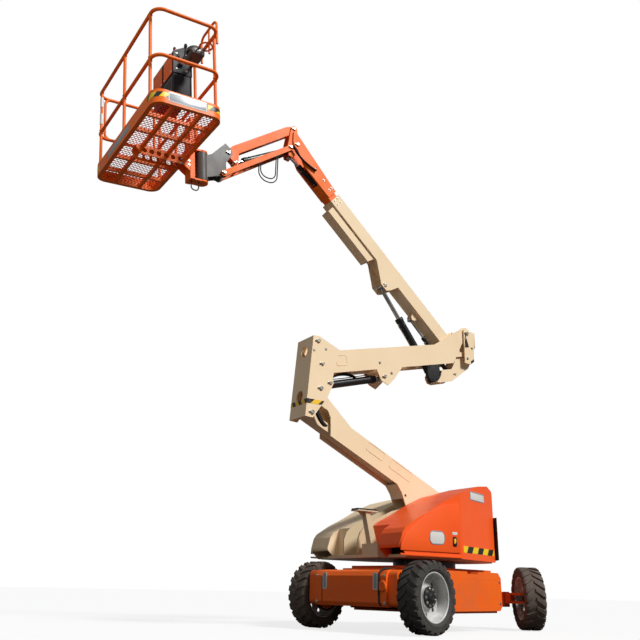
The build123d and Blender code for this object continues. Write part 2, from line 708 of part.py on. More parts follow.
with BuildPart() as mid_link:
    plane = boom_plane(mid_link_pivot, -MID_ANGLE)
    with BuildSketch(plane):
        with Locations((-MID_L / 2, 0)):
            Rectangle(MID_L, MID_LINK_DEPTH)
        Circle(40)
        with Locations((-MID_L, 0)):
            Circle(42)
    extrude(amount=MID_LINK_OUT, both=True)
    with BuildSketch(plane):
        with Locations((-MID_L / 2, 0)):
            Rectangle(MID_L + 200, 120)
    extrude(amount=MID_LINK_OUT - MID_LINK_T, both=True, mode=Mode.SUBTRACT)
    with BuildSketch(plane):
        with Locations((-200, 0)):
            Circle(20)
    extrude(amount=MID_LINK_OUT - 4, both=True)
    for spot, radius in [((0, 0), 20), ((-MID_L, 0), PIN_R)]:
        with BuildSketch(plane):
            with Locations(spot):
                Circle(radius + RUN)
        extrude(amount=MID_LINK_OUT + 5, both=True, mode=Mode.SUBTRACT)
mid_link.part.label = "mid_link"
export_step(mid_link.part, "parts/mid_link.step")

# the carrier's side plates, from a datum beside the mid boom's end pin
CARRIER_SIDE = [(-136, 32), (54, 47), (54, -418), (-42, -426), (-112, -374)]
carrier_datum = moved(mid_end, (0.59223, -0.57492))
ARM_SIDE = [(0, 330), (110, 330), (150, 200), (200, 0), (240, -150), (300, -262), (590, -330), (622, -396),
            (590, -470), (520, -480), (300, -420), (0, -200), (-75, -60), (-75, 250)]
with BuildPart() as boom_carrier:
    for side in (-1, 1):
        with BuildSketch(boom_plane(carrier_datum, side=side * (CARRIER_IN + CARRIER_T / 2))):
            Polygon(*CARRIER_SIDE, align=None)
        extrude(amount=CARRIER_T / 2, both=True)
        with BuildSketch(boom_plane(main_pivot, side=side * (ARM_IN + ARM_T / 2))):
            Polygon(*ARM_SIDE, align=None)
        extrude(amount=ARM_T / 2, both=True)
    with BuildSketch(boom_plane(carrier_datum)):
        Polygon((-146, -178), (-134, -178), (-134, 32), (-146, 32), align=None)
    extrude(amount=CARRIER_IN + CARRIER_T, both=True)
    for spot, radius, half in [(mid_end, PIN_R, 162), (main_pivot, PIN_R, 113), (main_base, 22, 94),
                               (master_base, 13, 80)]:
        with BuildSketch(boom_plane(spot)):
            Circle(radius)
        extrude(amount=half, both=True)
boom_carrier.part.label = "boom_carrier"
export_step(boom_carrier.part, "parts/boom_carrier.step")

# ================================================================ main boom
with BuildPart() as base_boom:
    plane = boom_plane(main_pivot, MAIN_ANGLE)
    low = -BASE_DROP - BASE_DEPTH
    with BuildSketch(plane):
        Polygon((300, -BASE_DROP), (BASE_L, -BASE_DROP), (BASE_L, low), (300, low), align=None)
    extrude(amount=BASE_HALF, both=True)
    with BuildSketch(plane):
        Polygon((312, -BASE_DROP - WALL), (BASE_L + 50, -BASE_DROP - WALL), (BASE_L + 50, low + WALL),
                (312, low + WALL), align=None)
    extrude(amount=BASE_HALF - WALL, both=True, mode=Mode.SUBTRACT)
    # wear pads in the open end, four strips around the fly
    for side in (-1, 1):
        with BuildSketch(boom_plane(main_pivot, MAIN_ANGLE, side * (BASE_HALF - WALL + 1))):
            with Locations((BASE_L - 52, -BASE_DROP - BASE_DEPTH / 2)):
                Rectangle(100, 90)
        extrude(amount=side * (BASE_HALF - WALL + 1 - FLY_HALF - 0.3))
        with BuildSketch(boom_plane(main_pivot, MAIN_ANGLE, side * 57)):
            Polygon((-10, 60), (310, -100), (310, -250), (-40, -46), align=None)
            Circle(60)
        extrude(amount=8, both=True)
        with BuildSketch(boom_plane(main_pivot, MAIN_ANGLE, side * 89)):
            Polygon((1340, -258), (1800, -258), (1610, -400), (1540, -455), (1430, -455), (1392, -400),
                    align=None)
        extrude(amount=6, both=True)
        with BuildSketch(boom_plane(main_lug, side=side * 60)):
            Circle(22)
        extrude(amount=-side * 42)
        with BuildSketch(boom_plane(main_pivot, MAIN_ANGLE, side * 39)):
            Polygon((840, -258), (960, -258), (935, -345), (900, -372), (865, -345), align=None)
        extrude(amount=5, both=True)
        with BuildSketch(boom_plane(master_lug, side=side * 32)):
            Circle(11)
        extrude(amount=-side * 16)
    with BuildSketch(plane):
        with Locations((BASE_L - 52, (-BASE_DROP - WALL + 1 - FLY_DROP + 0.3) / 2)):
            Rectangle(100, FLY_DROP - BASE_DROP - WALL + 1 - 0.3)
        with Locations((BASE_L - 52, (low + WALL - 1 - FLY_DROP - FLY_DEPTH - 0.3) / 2)):
            Rectangle(100, -FLY_DROP - FLY_DEPTH - 0.3 - low - WALL + 1)
    extrude(amount=FLY_HALF - 15, both=True)
    with BuildSketch(plane):
        Circle(PIN_R + RUN)
    extrude(amount=BASE_HALF, both=True, mode=Mode.SUBTRACT)
base_boom.part.label = "base_boom"
export_step(base_boom.part, "parts/base_boom.step")

with BuildPart() as hose_tray:
    plane = boom_plane(main_pivot, MAIN_ANGLE)
    with BuildSketch(plane):
        Polygon((1830, -275), (2670, -275), (2670, -380), (1860, -380), align=None)
    extrude(amount=74, both=True)
    with BuildSketch(plane):
        Polygon((1800, -270), (2700, -270), (2700, -376), (1800, -376), align=None)
    extrude(amount=70, both=True, mode=Mode.SUBTRACT)
    for s in (1950, 2250, 2550):
        with BuildSketch(plane):
            with Locations((s, -268)):
                Rectangle(50, 14)
        extrude(amount=74, both=True)
hose_tray.part.label = "hose_tray"
export_step(hose_tray.part, "parts/hose_tray.step")

with BuildPart() as fly_boom:
    plane = boom_plane(main_pivot, MAIN_ANGLE)
    top, low = -FLY_DROP, -FLY_DROP - FLY_DEPTH
    with BuildSketch(plane):
        Polygon((FLY_IN, top), (3290, top), (3290, low), (FLY_IN, low), align=None)
    extrude(amount=FLY_HALF, both=True)
    with BuildSketch(plane):
        Polygon((FLY_IN - 10, top - WALL), (3300, top - WALL), (3300, low + WALL), (FLY_IN - 10, low + WALL),
                align=None)
    extrude(amount=FLY_HALF - WALL, both=True, mode=Mode.SUBTRACT)
    # the floor stops short, so that the levelling cylinder can come out below
    with BuildSketch(plane):
        Polygon((3000, low + WALL + 1), (3300, low + WALL + 1), (3300, low - 5), (3000, low - 5), align=None)
    extrude(amount=FLY_HALF - WALL, both=True, mode=Mode.SUBTRACT)
    for side in (-1, 1):
        with BuildSketch(boom_plane(main_pivot, MAIN_ANGLE, side * (FLY_HALF + 7))):
            Polygon((2790, -84), (3680, 8), (3700, -20), (3606, -130), (3560, -160), (3490, -158),
                    (3420, -190), (3308, low), (2790, low), align=None)
            with Locations(FLY_NOSE):
                Circle(58)
            with Locations((3179, -103)):
                Circle(14, mode=Mode.SUBTRACT)
        extrude(amount=7, both=True)
        # rear wear pads
        with BuildSketch(boom_plane(main_pivot, MAIN_ANGLE, side * (FLY_HALF - 1))):
            with Locations((FLY_IN + 52, top - FLY_DEPTH / 2)):
                Rectangle(100, 90)
        extrude(amount=-side * (BASE_HALF - WALL - FLY_HALF + 1 - 0.3))
    with BuildSketch(plane):
        with Locations((FLY_IN + 52, (top - 1 - BASE_DROP - WALL - 0.3) / 2)):
            Rectangle(100, FLY_DROP - BASE_DROP - WALL + 1 - 0.3)
        with Locations((FLY_IN + 52, (low + 1 - BASE_DROP - BASE_DEPTH + WALL + 0.3) / 2)):
            Rectangle(100, BASE_DROP + BASE_DEPTH - WALL - FLY_DROP - FLY_DEPTH + 1 - 0.3)
    extrude(amount=FLY_HALF - 15, both=True)
    with BuildSketch(boom_plane(knuckle)):
        Circle(22)
    extrude(amount=FLY_HALF + 20, both=True)
    with BuildSketch(boom_plane(level_base)):
        Circle(13)
    extrude(amount=FLY_HALF - 2, both=True)
fly_boom.part.label = "fly_boom"
export_step(fly_boom.part, "parts/fly_boom.step")

# ================================================================ jib
with BuildPart() as level_bracket:
    for side in (-1, 1):
        with BuildSketch(boom_plane(knuckle, side=side * 57)):
            Polygon((10, 235), (90, 235), (135, -60), (112, -185), (45, -190), (-52, -20), (-20, 60),
                    align=None)
            with Locations(BRACKET_TOP):
                Circle(44)
            with Locations(moved(BRACKET_TOP, JIB_SPAN)):
                Circle(44)
            Circle(52)
            Circle(22 + RUN, mode=Mode.SUBTRACT)
        extrude(amount=7, both=True)
        with BuildSketch(boom_plane(level_lug, side=side * 30)):
            Circle(12)
        extrude(amount=-side * 34)
    for spot, radius, half in [(jib_top, 20, 70), (jib_low, 20, 96)]:
        with BuildSketch(boom_plane(spot)):
            Circle(radius)
        extrude(amount=half, both=True)
level_bracket.part.label = "level_bracket"
export_step(level_bracket.part, "parts/level_bracket.step")

with BuildPart() as jib_beam:
    plane = boom_plane(jib_top, JIB_ANGLE)
    with BuildSketch(plane):
        Polygon((-8, 43), (90, JIB_TOP), (980, JIB_TOP), (JIB_L + 10, 42), (JIB_L, -43), (0, -43), align=None)
        Circle(44)
        with Locations((JIB_L, 0)):
            Circle(44)
    extrude(amount=JIB_HALF, both=True)
    # a box at the rear, a channel open below towards the front
    with BuildSketch(plane):
        Polygon((90, 58), (1030, 58), (1030, -60), (560, -60), (560, -35), (90, -35), align=None)
    extrude(amount=JIB_HALF - 8, both=True, mode=Mode.SUBTRACT)
    for side in (-1, 1):
        with BuildSketch(boom_plane(jib_top, JIB_ANGLE, side * (JIB_HALF - 4))):
            Polygon((960, -40), (1115, -40), (JIB_LUG[0] + 32, JIB_LUG[1]), (JIB_LUG[0] - 32, JIB_LUG[1]),
                    align=None)
            with Locations(JIB_LUG):
                Circle(32)
        extrude(amount=4, both=True)
        with BuildSketch(boom_plane(jib_lug, side=side * 31)):
            Circle(14)
        extrude(amount=-side * 16)
    for spot in [(0, 0), (JIB_L, 0)]:
        with BuildSketch(plane):
            with Locations(spot):
                Circle(20 + RUN)
        extrude(amount=JIB_HALF + 10, both=True, mode=Mode.SUBTRACT)
jib_beam.part.label = "jib_beam"
export_step(jib_beam.part, "parts/jib_beam.step")

with BuildPart() as jib_link:
    plane = boom_plane(jib_low, JIB_ANGLE)
    with BuildSketch(plane):
        with Locations((JIB_L / 2, 0)):
            Rectangle(JIB_L, JIB_LINK_DEPTH)
        Circle(38)
        with Locations((JIB_L, 0)):
            Circle(38)
    extrude(amount=JIB_LINK_IN + JIB_LINK_T, both=True)
    with BuildSketch(plane):
        with Locations((JIB_L / 2, 0)):
            Rectangle(JIB_L + 200, 120)
    extrude(amount=JIB_LINK_IN, both=True, mode=Mode.SUBTRACT)
    with BuildSketch(plane):
        with Locations((900, -18)):
            Circle(12)
    extrude(amount=JIB_LINK_IN + 4, both=True)
    for spot in [(0, 0), (JIB_L, 0)]:
        with BuildSketch(plane):
            with Locations(spot):
                Circle(20 + RUN)
        extrude(amount=JIB_LINK_IN + JIB_LINK_T + 5, both=True, mode=Mode.SUBTRACT)
jib_link.part.label = "jib_link"
export_step(jib_link.part, "parts/jib_link.step")

# the jib head's plates, from a datum beside the jib's end pin
HEAD_SIDE = [(-20, 57), (55, 107), (215, -98), (280, -138), (260, -418), (110, -348), (35, -348),
             (8, -313), (30, -148), (-40, -18)]
head_datum = moved(head_top, (-0.89313, -0.08708))
with BuildPart() as jib_head:
    for side in (-1, 1):
        with BuildSketch(boom_plane(head_datum, side=side * 57)):
            Polygon(*HEAD_SIDE, align=None)
        extrude(amount=7, both=True)
        with BuildSketch(boom_plane(side=side * 57)):
            with Locations(head_top, head_low):
                Circle(44)
        extrude(amount=7, both=True)
    for spot, radius, half in [(head_top, 20, 70), (head_low, 20, 96)]:
        with BuildSketch(boom_plane(spot)):
            Circle(radius)
        extrude(amount=half, both=True)
    with BuildSketch(deck_plane(0, PLATFORM_TILT, rotator_base)):
        Circle(ROTATOR_R)
    extrude(amount=ROTATOR_TALL)
    with BuildSketch(deck_plane(0, PLATFORM_TILT, rotator_base)):
        Circle(ROTATOR_PIN + RUN)
    extrude(amount=ROTATOR_TALL, mode=Mode.SUBTRACT)
jib_head.part.label = "jib_head"
export_step(jib_head.part, "parts/jib_head.step")

# ================================================================ platform
platform = deck_plane(0, PLATFORM_TILT, PLATFORM_AT)
with BuildPart() as platform_support:
    for low in (ROTATOR_W - 25, ROTATOR_W + ROTATOR_TALL + 5):
        with BuildSketch(platform.offset(low)):
            with Locations((ROTATOR_A, 0)):
                Circle(ROTATOR_R - 3)
            with Locations((ROTATOR_A / 2 + BACK_A / 2, 0)):
                Rectangle(BACK_A - ROTATOR_A, 2 * BEAM_HALF)
        extrude(amount=20)
    with BuildSketch(platform.offset(ROTATOR_W - 25)):
        with Locations((ROTATOR_A, 0)):
            Circle(ROTATOR_PIN)
    extrude(amount=ROTATOR_TALL + 50)
    # the upright channel behind the platform
    with BuildSketch(platform.offset(ROTATOR_W - 25)):
        with Locations((BACK_A, 0)):
            Rectangle(20, 2 * BEAM_HALF + 20)
        for v in (-BEAM_HALF - 5, BEAM_HALF + 5):
            with Locations((BACK_A - 20, v)):
                Rectangle(50, 10)
    extrude(amount=BACK_TALL)
    # the beam below the floor: two webs with a row of holes, under a flange
    for side in (-1, 1):
        web = Plane(origin=platform.from_local_coords((0, side * BEAM_HALF, 0)), x_dir=platform.x_dir,
                    z_dir=platform.y_dir * -1)
        with BuildSketch(web):
            Polygon((BACK_A, 0), (BEAM_FRONT, 0), (BEAM_FRONT, -40), (BEAM_FRONT - 60, -BEAM_TALL),
                    (BACK_A + 90, -BEAM_TALL), (BACK_A, ROTATOR_W + 60), align=None)
            for hole in range(BEAM_HOLES):
                with Locations((BACK_A + 130 + hole * BEAM_PITCH, -BEAM_TALL / 2)):
                    Circle(BEAM_TALL / 4, mode=Mode.SUBTRACT)
        extrude(amount=4, both=True)
    with BuildSketch(platform.offset(-8)):
        with Locations(((BACK_A + BEAM_FRONT) / 2, 0)):
            Rectangle(BEAM_FRONT - BACK_A, 2 * BEAM_HALF)
    extrude(amount=8)
platform_support.part.label = "platform_support"
export_step(platform_support.part, "parts/platform_support.step")

half_d, half_w = PLATFORM_D / 2, PLATFORM_W / 2
# places of the cross bearers and of the long bearers below the floor
CROSS_V = [-620.0, -310.0, 310.0, 620.0]
LONG_A = [-150.0, 150.0]
# front or rear, share of the half width
POSTS = [(1, 0.84), (1, 0.02), (1, -0.84), (-1, 0.84), (-1, 0.3), (-1, -0.3), (-1, -0.84)]
with BuildPart() as platform_frame:
    with BuildSketch(platform):
        RectangleRounded(PLATFORM_D, PLATFORM_W, 120)
        RectangleRounded(PLATFORM_D - 90, PLATFORM_W - 90, 80, mode=Mode.SUBTRACT)
        for v in CROSS_V:
            with Locations((0, v)):
                Rectangle(PLATFORM_D - 60, BEARER)
        for a in LONG_A:
            with Locations((a, 0)):
                Rectangle(BEARER, PLATFORM_W - 60)
    extrude(amount=45)
    with BuildSketch(platform):
        RectangleRounded(PLATFORM_D, PLATFORM_W, 120)
        RectangleRounded(PLATFORM_D - 8, PLATFORM_W - 8, 116, mode=Mode.SUBTRACT)
    extrude(amount=KICK_H)
    for height in (560.0, RAIL_H - RAIL_R):
        d, v = half_d - RAIL_R, half_w - RAIL_R
        with BuildLine(platform.offset(height)) as rail:
            FilletPolyline((d, v), (-d, v), (-d, -v), (d, -v), radius=110, close=True)
        with BuildSketch(Plane(origin=rail.line @ 0, z_dir=rail.line % 0)):
            Circle(RAIL_R)
        sweep()
    for a, v in POSTS:
        with BuildSketch(platform.offset(20)):
            with Locations((a * (half_d - RAIL_R), v * half_w)):
                Circle(RAIL_R - 2)
        extrude(amount=RAIL_H - RAIL_R - 20)
platform_frame.part.label = "platform_frame"
export_step(platform_frame.part, "parts/platform_frame.step")

with BuildPart() as platform_floor:
    with BuildSketch(platform.offset(45)):
        RectangleRounded(PLATFORM_D - 20, PLATFORM_W - 20, 100)
        for a, v in POSTS:
            with Locations((a * (half_d - RAIL_R), v * half_w)):
                Circle(RAIL_R, mode=Mode.SUBTRACT)
    extrude(amount=6)
platform_floor.part.label = "platform_floor"
export_step(platform_floor.part, "parts/platform_floor.step")

with BuildPart() as control_console:
    rail_face = half_d - 2 * RAIL_R
    side_view = Plane(origin=platform.from_local_coords((0, -360, 0)), x_dir=platform.x_dir,
                      z_dir=platform.y_dir)
    with BuildSketch(side_view):
        Polygon((-rail_face, -920), (-rail_face, -1200), (-rail_face + 90, -1290), (-rail_face + 225, -1200),
                (-rail_face + 225, -920), align=None)
    extrude(amount=600)
control_console.part.label = "control_console"
export_step(control_console.part, "parts/control_console.step")

# ================================================================ hoses that hang in loops
# name, both ends and the depth of the loop in the boom plane, how far to the left it hangs
HOSE_V = JIB_LINK_IN + JIB_LINK_T / 2
PLATE_W = ROTATOR_W - 25
LOOPS = [
    ("jib_hose_inner", below(moved(jib_low, turned((255, 0), JIB_ANGLE)), JIB_ANGLE, JIB_LINK_DEPTH / 2),
     below(moved(jib_low, turned((515, 0), JIB_ANGLE)), JIB_ANGLE, JIB_LINK_DEPTH / 2), 175, HOSE_V),
    ("jib_hose_outer", below(moved(jib_low, turned((225, 0), JIB_ANGLE)), JIB_ANGLE, JIB_LINK_DEPTH / 2),
     below(moved(jib_low, turned((545, 0), JIB_ANGLE)), JIB_ANGLE, JIB_LINK_DEPTH / 2), 210, HOSE_V),
    ("rotator_hose", below(moved(PLATFORM_AT, turned((-505, PLATE_W), -PLATFORM_TILT)), PLATFORM_TILT),
     below(moved(PLATFORM_AT, turned((-415, PLATE_W), -PLATFORM_TILT)), PLATFORM_TILT), 110, 30),
]
for name, start, end, deep, side in LOOPS:
    low_z = min(start[1], end[1]) - deep
    with BuildPart() as hose:
        with BuildLine(boom_plane(side=side)) as route:
            FilletPolyline(start, (start[0], low_z), (end[0], low_z), end, radius=(end[0] - start[0]) * 0.45)
        with BuildSketch(Plane(origin=route.line @ 0, z_dir=route.line % 0)):
            Circle(HOSE_R)
        sweep()
    hose.part.label = name
    export_step(hose.part, f"parts/{name}.step")

# ================================================================ cylinders
for name, base, lug, barrel_r, rod_r, barrel_l, rod_l, eye_r, eye_w, pin_r, end_r, end_w in CYLINDERS:
    with BuildPart() as barrel:
        with BuildSketch(across(base, lug, 14)):
            Circle(barrel_r)
        extrude(amount=barrel_l - 14)
        with BuildSketch(across(base, lug, barrel_l - 30)):
            Circle(barrel_r + 4)
        extrude(amount=30)
        with BuildSketch(boom_plane(base)):
            Circle(eye_r)
        extrude(amount=eye_w, both=True)
        with BuildSketch(across(base, lug, eye_r + 10)):
            Circle(barrel_r - WALL_B)
        extrude(amount=barrel_l - GLAND - eye_r - 10, mode=Mode.SUBTRACT)
        with BuildSketch(across(base, lug, barrel_l - GLAND - 1)):
            Circle(rod_r + RUN)
        extrude(amount=GLAND + 2, mode=Mode.SUBTRACT)
        with BuildSketch(boom_plane(base)):
            Circle(pin_r + RUN)
        extrude(amount=max(eye_w, barrel_r) + 5, both=True, mode=Mode.SUBTRACT)
    barrel.part.label = f"{name}_barrel"
    export_step(barrel.part, f"parts/{name}_barrel.step")

    with BuildPart() as rod:
        with BuildSketch(across(lug, base)):
            Circle(rod_r)
        extrude(amount=rod_l)
        with BuildSketch(across(lug, base, rod_l - PISTON)):
            Circle(barrel_r - WALL_B - RUN)
        extrude(amount=PISTON)
        with BuildSketch(boom_plane(lug)):
            Circle(end_r)
        extrude(amount=end_w, both=True)
    rod.part.label = f"{name}_rod"
    export_step(rod.part, f"parts/{name}_rod.step")
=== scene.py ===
import json
from math import cos, pi, radians, sin

import bmesh
import bpy
from mathutils import Matrix, Vector


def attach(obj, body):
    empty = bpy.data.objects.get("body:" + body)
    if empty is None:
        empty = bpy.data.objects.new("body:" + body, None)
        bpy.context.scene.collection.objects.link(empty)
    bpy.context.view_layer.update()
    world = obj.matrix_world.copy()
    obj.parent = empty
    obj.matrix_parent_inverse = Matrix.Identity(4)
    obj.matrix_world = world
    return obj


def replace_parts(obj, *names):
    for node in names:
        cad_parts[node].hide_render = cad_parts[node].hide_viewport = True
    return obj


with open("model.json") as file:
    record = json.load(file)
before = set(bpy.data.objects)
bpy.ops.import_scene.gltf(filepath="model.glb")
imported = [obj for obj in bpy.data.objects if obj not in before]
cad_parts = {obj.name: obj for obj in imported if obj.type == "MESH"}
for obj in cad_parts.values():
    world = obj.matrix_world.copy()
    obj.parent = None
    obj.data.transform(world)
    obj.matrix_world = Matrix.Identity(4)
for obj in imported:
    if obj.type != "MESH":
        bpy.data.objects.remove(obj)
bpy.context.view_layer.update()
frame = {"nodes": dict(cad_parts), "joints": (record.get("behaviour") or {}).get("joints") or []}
NODES = frame["nodes"]
J = {j["name"]: j for j in frame["joints"]}


# ---------------------------------------------------------------- camera
def camera():
    """Low beside the drive axle, looking up at the platform."""
    data = bpy.data.cameras.new("Camera")
    data.lens = 40.82
    data.sensor_width = 36
    data.clip_end = 200
    cam = bpy.data.objects.new("Camera", data)
    bpy.context.scene.collection.objects.link(cam)
    place = (7.2922, 5.272, 0.4058)
    yaw, pitch, roll = -2.3735, 0.3547, 0.0224
    ahead = Vector((cos(yaw) * cos(pitch), sin(yaw) * cos(pitch), sin(pitch)))
    right = Vector((sin(yaw), -cos(yaw), 0))
    up = right.cross(ahead)
    right, up = right * cos(roll) + up * sin(roll), up * cos(roll) - right * sin(roll)
    turn = Matrix((right, up, -ahead)).transposed().to_4x4()
    cam.matrix_world = Matrix.Translation(place) @ turn
    bpy.context.scene.camera = cam


# ---------------------------------------------------------------- materials
def lin(r, g, b):
    """A colour as written on screen, 0 to 255, as linear light."""
    return tuple((c / 255 / 12.92) if c <= 10 else ((c / 255 + 0.055) / 1.055) ** 2.4
                 for c in (r, g, b)) + (1,)


class Net:
    """A short way to lay out a material's nodes."""

    def __init__(self, name):
        self.mat = bpy.data.materials.new(name)
        self.mat.use_nodes = True
        self.t = self.mat.node_tree
        self.bsdf = self.t.nodes["Principled BSDF"]
        self.coord = self.add("ShaderNodeTexCoord").outputs["Object"]

    def add(self, kind, **values):
        node = self.t.nodes.new(kind)
        for key, value in values.items():
            if key in node.inputs:
                if isinstance(value, bpy.types.NodeSocket):
                    self.t.links.new(value, node.inputs[key])
                else:
                    node.inputs[key].default_value = value
            else:
                setattr(node, key, value)
        return node

    def link(self, a, b):
        self.t.links.new(a, b)

    def noise(self, scale, detail=4.0, rough=0.55, coord=None, distort=0.0):
        n = self.add("ShaderNodeTexNoise", Scale=scale, Detail=detail, Roughness=rough, Distortion=distort)
        self.link(coord or self.coord, n.inputs["Vector"])
        return n.outputs["Fac"]

    def ramp(self, value, low, high, a=0.0, b=1.0):
        m = self.add("ShaderNodeMapRange", clamp=True)
        self.link(value, m.inputs["Value"])
        for key, v in (("From Min", low), ("From Max", high), ("To Min", a), ("To Max", b)):
            m.inputs[key].default_value = v
        return m.outputs["Result"]

    def math(self, op, a, b=None):
        m = self.add("ShaderNodeMath", operation=op)
        for i, v in enumerate((a, b)):
            if v is None:
                continue
            if isinstance(v, bpy.types.NodeSocket):
                self.link(v, m.inputs[i])
            else:
                m.inputs[i].default_value = v
        return m.outputs[0]

    def mix(self, fac, a, b, blend="MIX"):
        m = self.add("ShaderNodeMix", data_type="RGBA", blend_type=blend)
        for key, v in ((0, fac), (6, a), (7, b)):
            if isinstance(v, bpy.types.NodeSocket):
                self.link(v, m.inputs[key])
            else:
                m.inputs[key].default_value = v
        return m.outputs[2]

    def bump(self, height, strength, distance=0.001):
        b = self.add("ShaderNodeBump", Strength=strength, Distance=distance)
        self.link(height, b.inputs["Height"])
        self.link(b.outputs["Normal"], self.bsdf.inputs["Normal"])
        return b

    def edges(self, radius=0.006):
        """1 where a surface turns over a sharp edge, 0 on its flats."""
        bevel = self.add("ShaderNodeBevel", samples=4, Radius=radius)
        geo = self.add("ShaderNodeNewGeometry")
        dot = self.add("ShaderNodeVectorMath", operation="DOT_PRODUCT")
        self.link(bevel.outputs["Normal"], dot.inputs[0])
        self.link(geo.outputs["Normal"], dot.inputs[1])
        return self.ramp(dot.outputs["Value"], 0.98, 0.86)

    def height(self):
        sep = self.add("ShaderNodeSeparateXYZ")
        self.link(self.coord, sep.inputs[0])
        return sep.outputs["Z"]


def paint(name, rgb, shade, rough=0.34, coat=0.25, dust=0.0, metallic=0.0, grain=220.0, wear=0.35):
    """Sprayed paint: slow colour drift, faint streaks, orange peel, worn edges and road dust low down."""
    n = Net(name)
    base, dark = lin(*rgb), lin(*shade)
    drift = n.ramp(n.noise(1.3, 5), 0.38, 0.66)
    colour = n.mix(n.math("MULTIPLY", drift, 0.30), base, dark)
    fine = n.ramp(n.noise(26, 6, 0.7), 0.52, 0.76)
    colour = n.mix(n.math("MULTIPLY", fine, 0.10), colour, dark)
    edge = n.math("MULTIPLY", n.edges(), n.ramp(n.noise(34, 3), 0.46, 0.62, 0.0, wear))
    colour = n.mix(edge, colour, lin(min(255, rgb[0] + 14), min(255, rgb[1] + 34), min(255, rgb[2] + 30)))
    if dust:
        low = n.ramp(n.height(), 0.15, 0.95, dust, 0.0)
        speck = n.math("MULTIPLY", low, n.ramp(n.noise(7, 7, 0.65), 0.36, 0.70))
        colour = n.mix(speck, colour, lin(132, 112, 88))
    n.link(colour, n.bsdf.inputs["Base Color"])
    n.link(n.ramp(n.noise(5, 5, 0.6), 0.3, 0.7, rough - 0.05, rough + 0.11), n.bsdf.inputs["Roughness"])
    n.bsdf.inputs["Metallic"].default_value = metallic
    n.bsdf.inputs["Coat Weight"].default_value = coat
    n.bsdf.inputs["Coat Roughness"].default_value = 0.18
    n.bsdf.inputs["Specular IOR Level"].default_value = 0.28
    n.bump(n.noise(grain, 2), 0.10, 0.0006)
    return n.mat


def rubber(name, rgb, dust):
    """Tyre and pad rubber: matt, mottled, with dry dust scuffed on in patches."""
    n = Net(name)
    base = lin(*rgb)
    mottle = n.ramp(n.noise(14, 7, 0.7), 0.35, 0.68)
    colour = n.mix(mottle, base, lin(*(min(255, c + 16) for c in rgb)))
    scuff = n.math("MULTIPLY", n.ramp(n.noise(52, 5, 0.75, distort=0.6), 0.42, 0.66), dust)
    colour = n.mix(scuff, colour, lin(128, 112, 96))
    n.link(colour, n.bsdf.inputs["Base Color"])
    n.link(n.ramp(mottle, 0, 1, 0.72, 0.92), n.bsdf.inputs["Roughness"])
    n.bump(n.noise(310, 4, 0.7), 0.30, 0.0012)
    return n.mat


def metal(name, rgb, rough, brushed=0.0, metallic=1.0):
    """Bare or plated metal: fine scratches round the part, and a film of grease in patches."""
    n = Net(name)
    scratch = n.noise(180, 6, 0.7, distort=0.2)
    film = n.ramp(n.noise(9, 5), 0.42, 0.68)
    n.link(n.mix(n.math("MULTIPLY", film, 0.35), lin(*rgb), lin(*(c * 0.62 for c in rgb))),
           n.bsdf.inputs["Base Color"])
    n.link(n.ramp(scratch, 0.3, 0.7, rough, rough + 0.08 + brushed), n.bsdf.inputs["Roughness"])
    n.bsdf.inputs["Metallic"].default_value = metallic
    n.bump(scratch, 0.06, 0.0004)
    return n.mat


def stripes(name, direction, pitch, first, second):
    """Hazard tape: two colours in slanted bars, a little faded and scuffed."""
    n = Net(name)
    dot = n.add("ShaderNodeVectorMath", operation="DOT_PRODUCT")
    n.link(n.coord, dot.inputs[0])
    dot.inputs[1].default_value = Vector(direction) / pitch
    bar = n.math("GREATER_THAN", n.math("FRACT", dot.outputs["Value"]), 0.5)
    colour = n.mix(bar, lin(*first), lin(*second))
    scuff = n.math("MULTIPLY", n.ramp(n.noise(40, 6, 0.7), 0.55, 0.75), 0.30)
    colour = n.mix(scuff, colour, lin(150, 138, 110))
    n.link(colour, n.bsdf.inputs["Base Color"])
    n.link(n.ramp(n.noise(60, 4), 0.3, 0.7, 0.32, 0.5), n.bsdf.inputs["Roughness"])
    n.bump(n.noise(400, 2), 0.08, 0.0003)
    return n.mat


ORANGE = paint("orange_paint", (255, 118, 16), (236, 92, 10), rough=0.46, coat=0.05, wear=0.2)
ORANGE_LOW = paint("orange_chassis", (252, 108, 22), (226, 80, 14), rough=0.44, coat=0.08, dust=0.30,
                   wear=0.25)
CREAM = paint("cream_paint", (250, 224, 186), (232, 200, 154), rough=0.44, coat=0.08, wear=0.25)
TAN = paint("tan_paint", (214, 192, 156), (188, 164, 126), rough=0.42, dust=0.15)
HOOD = paint("hood_orange", (255, 96, 30), (248, 76, 22), rough=0.38, coat=0.15, grain=420.0, wear=0.1)
BLACK = paint("black_paint", (30, 30, 32), (20, 20, 22), rough=0.38, wear=0.5)
GREY = paint("grey_paint", (92, 88, 84), (70, 66, 62), rough=0.46)
CASTING = metal("grey_casting", (96, 98, 100), 0.46, metallic=0.35)
RIM = paint("rim_silver", (214, 214, 212), (186, 184, 180), rough=0.30, coat=0.3, dust=0.22, metallic=0.15)
TYRE = rubber("tyre_rubber", (40, 39, 37), 0.22)
TYRE_DUSTY = rubber("tyre_dusty", (74, 64, 57), 0.55)
CHROME = metal("chrome_rod", (214, 216, 220), 0.08)
ZINC = metal("zinc_plate", (196, 194, 184), 0.28, 0.08)
RUBBER = rubber("black_rubber", (24, 24, 25), 0.05)
CONSOLE = paint("console_black", (34, 36, 38), (24, 25, 27), rough=0.5, coat=0.0, grain=700.0)
LABEL = paint("blank_plate", (226, 222, 216), (196, 192, 188), rough=0.3, wear=0.0, grain=500.0)
PLATE_GREY = paint("grey_plate", (150, 158, 164), (128, 136, 142), rough=0.35, wear=0.0)
DARK_AND_PAINTED_SHADE = paint("dark_and_painted_shade", (44, 36, 30), (30, 24, 20), rough=0.7, coat=0.0)
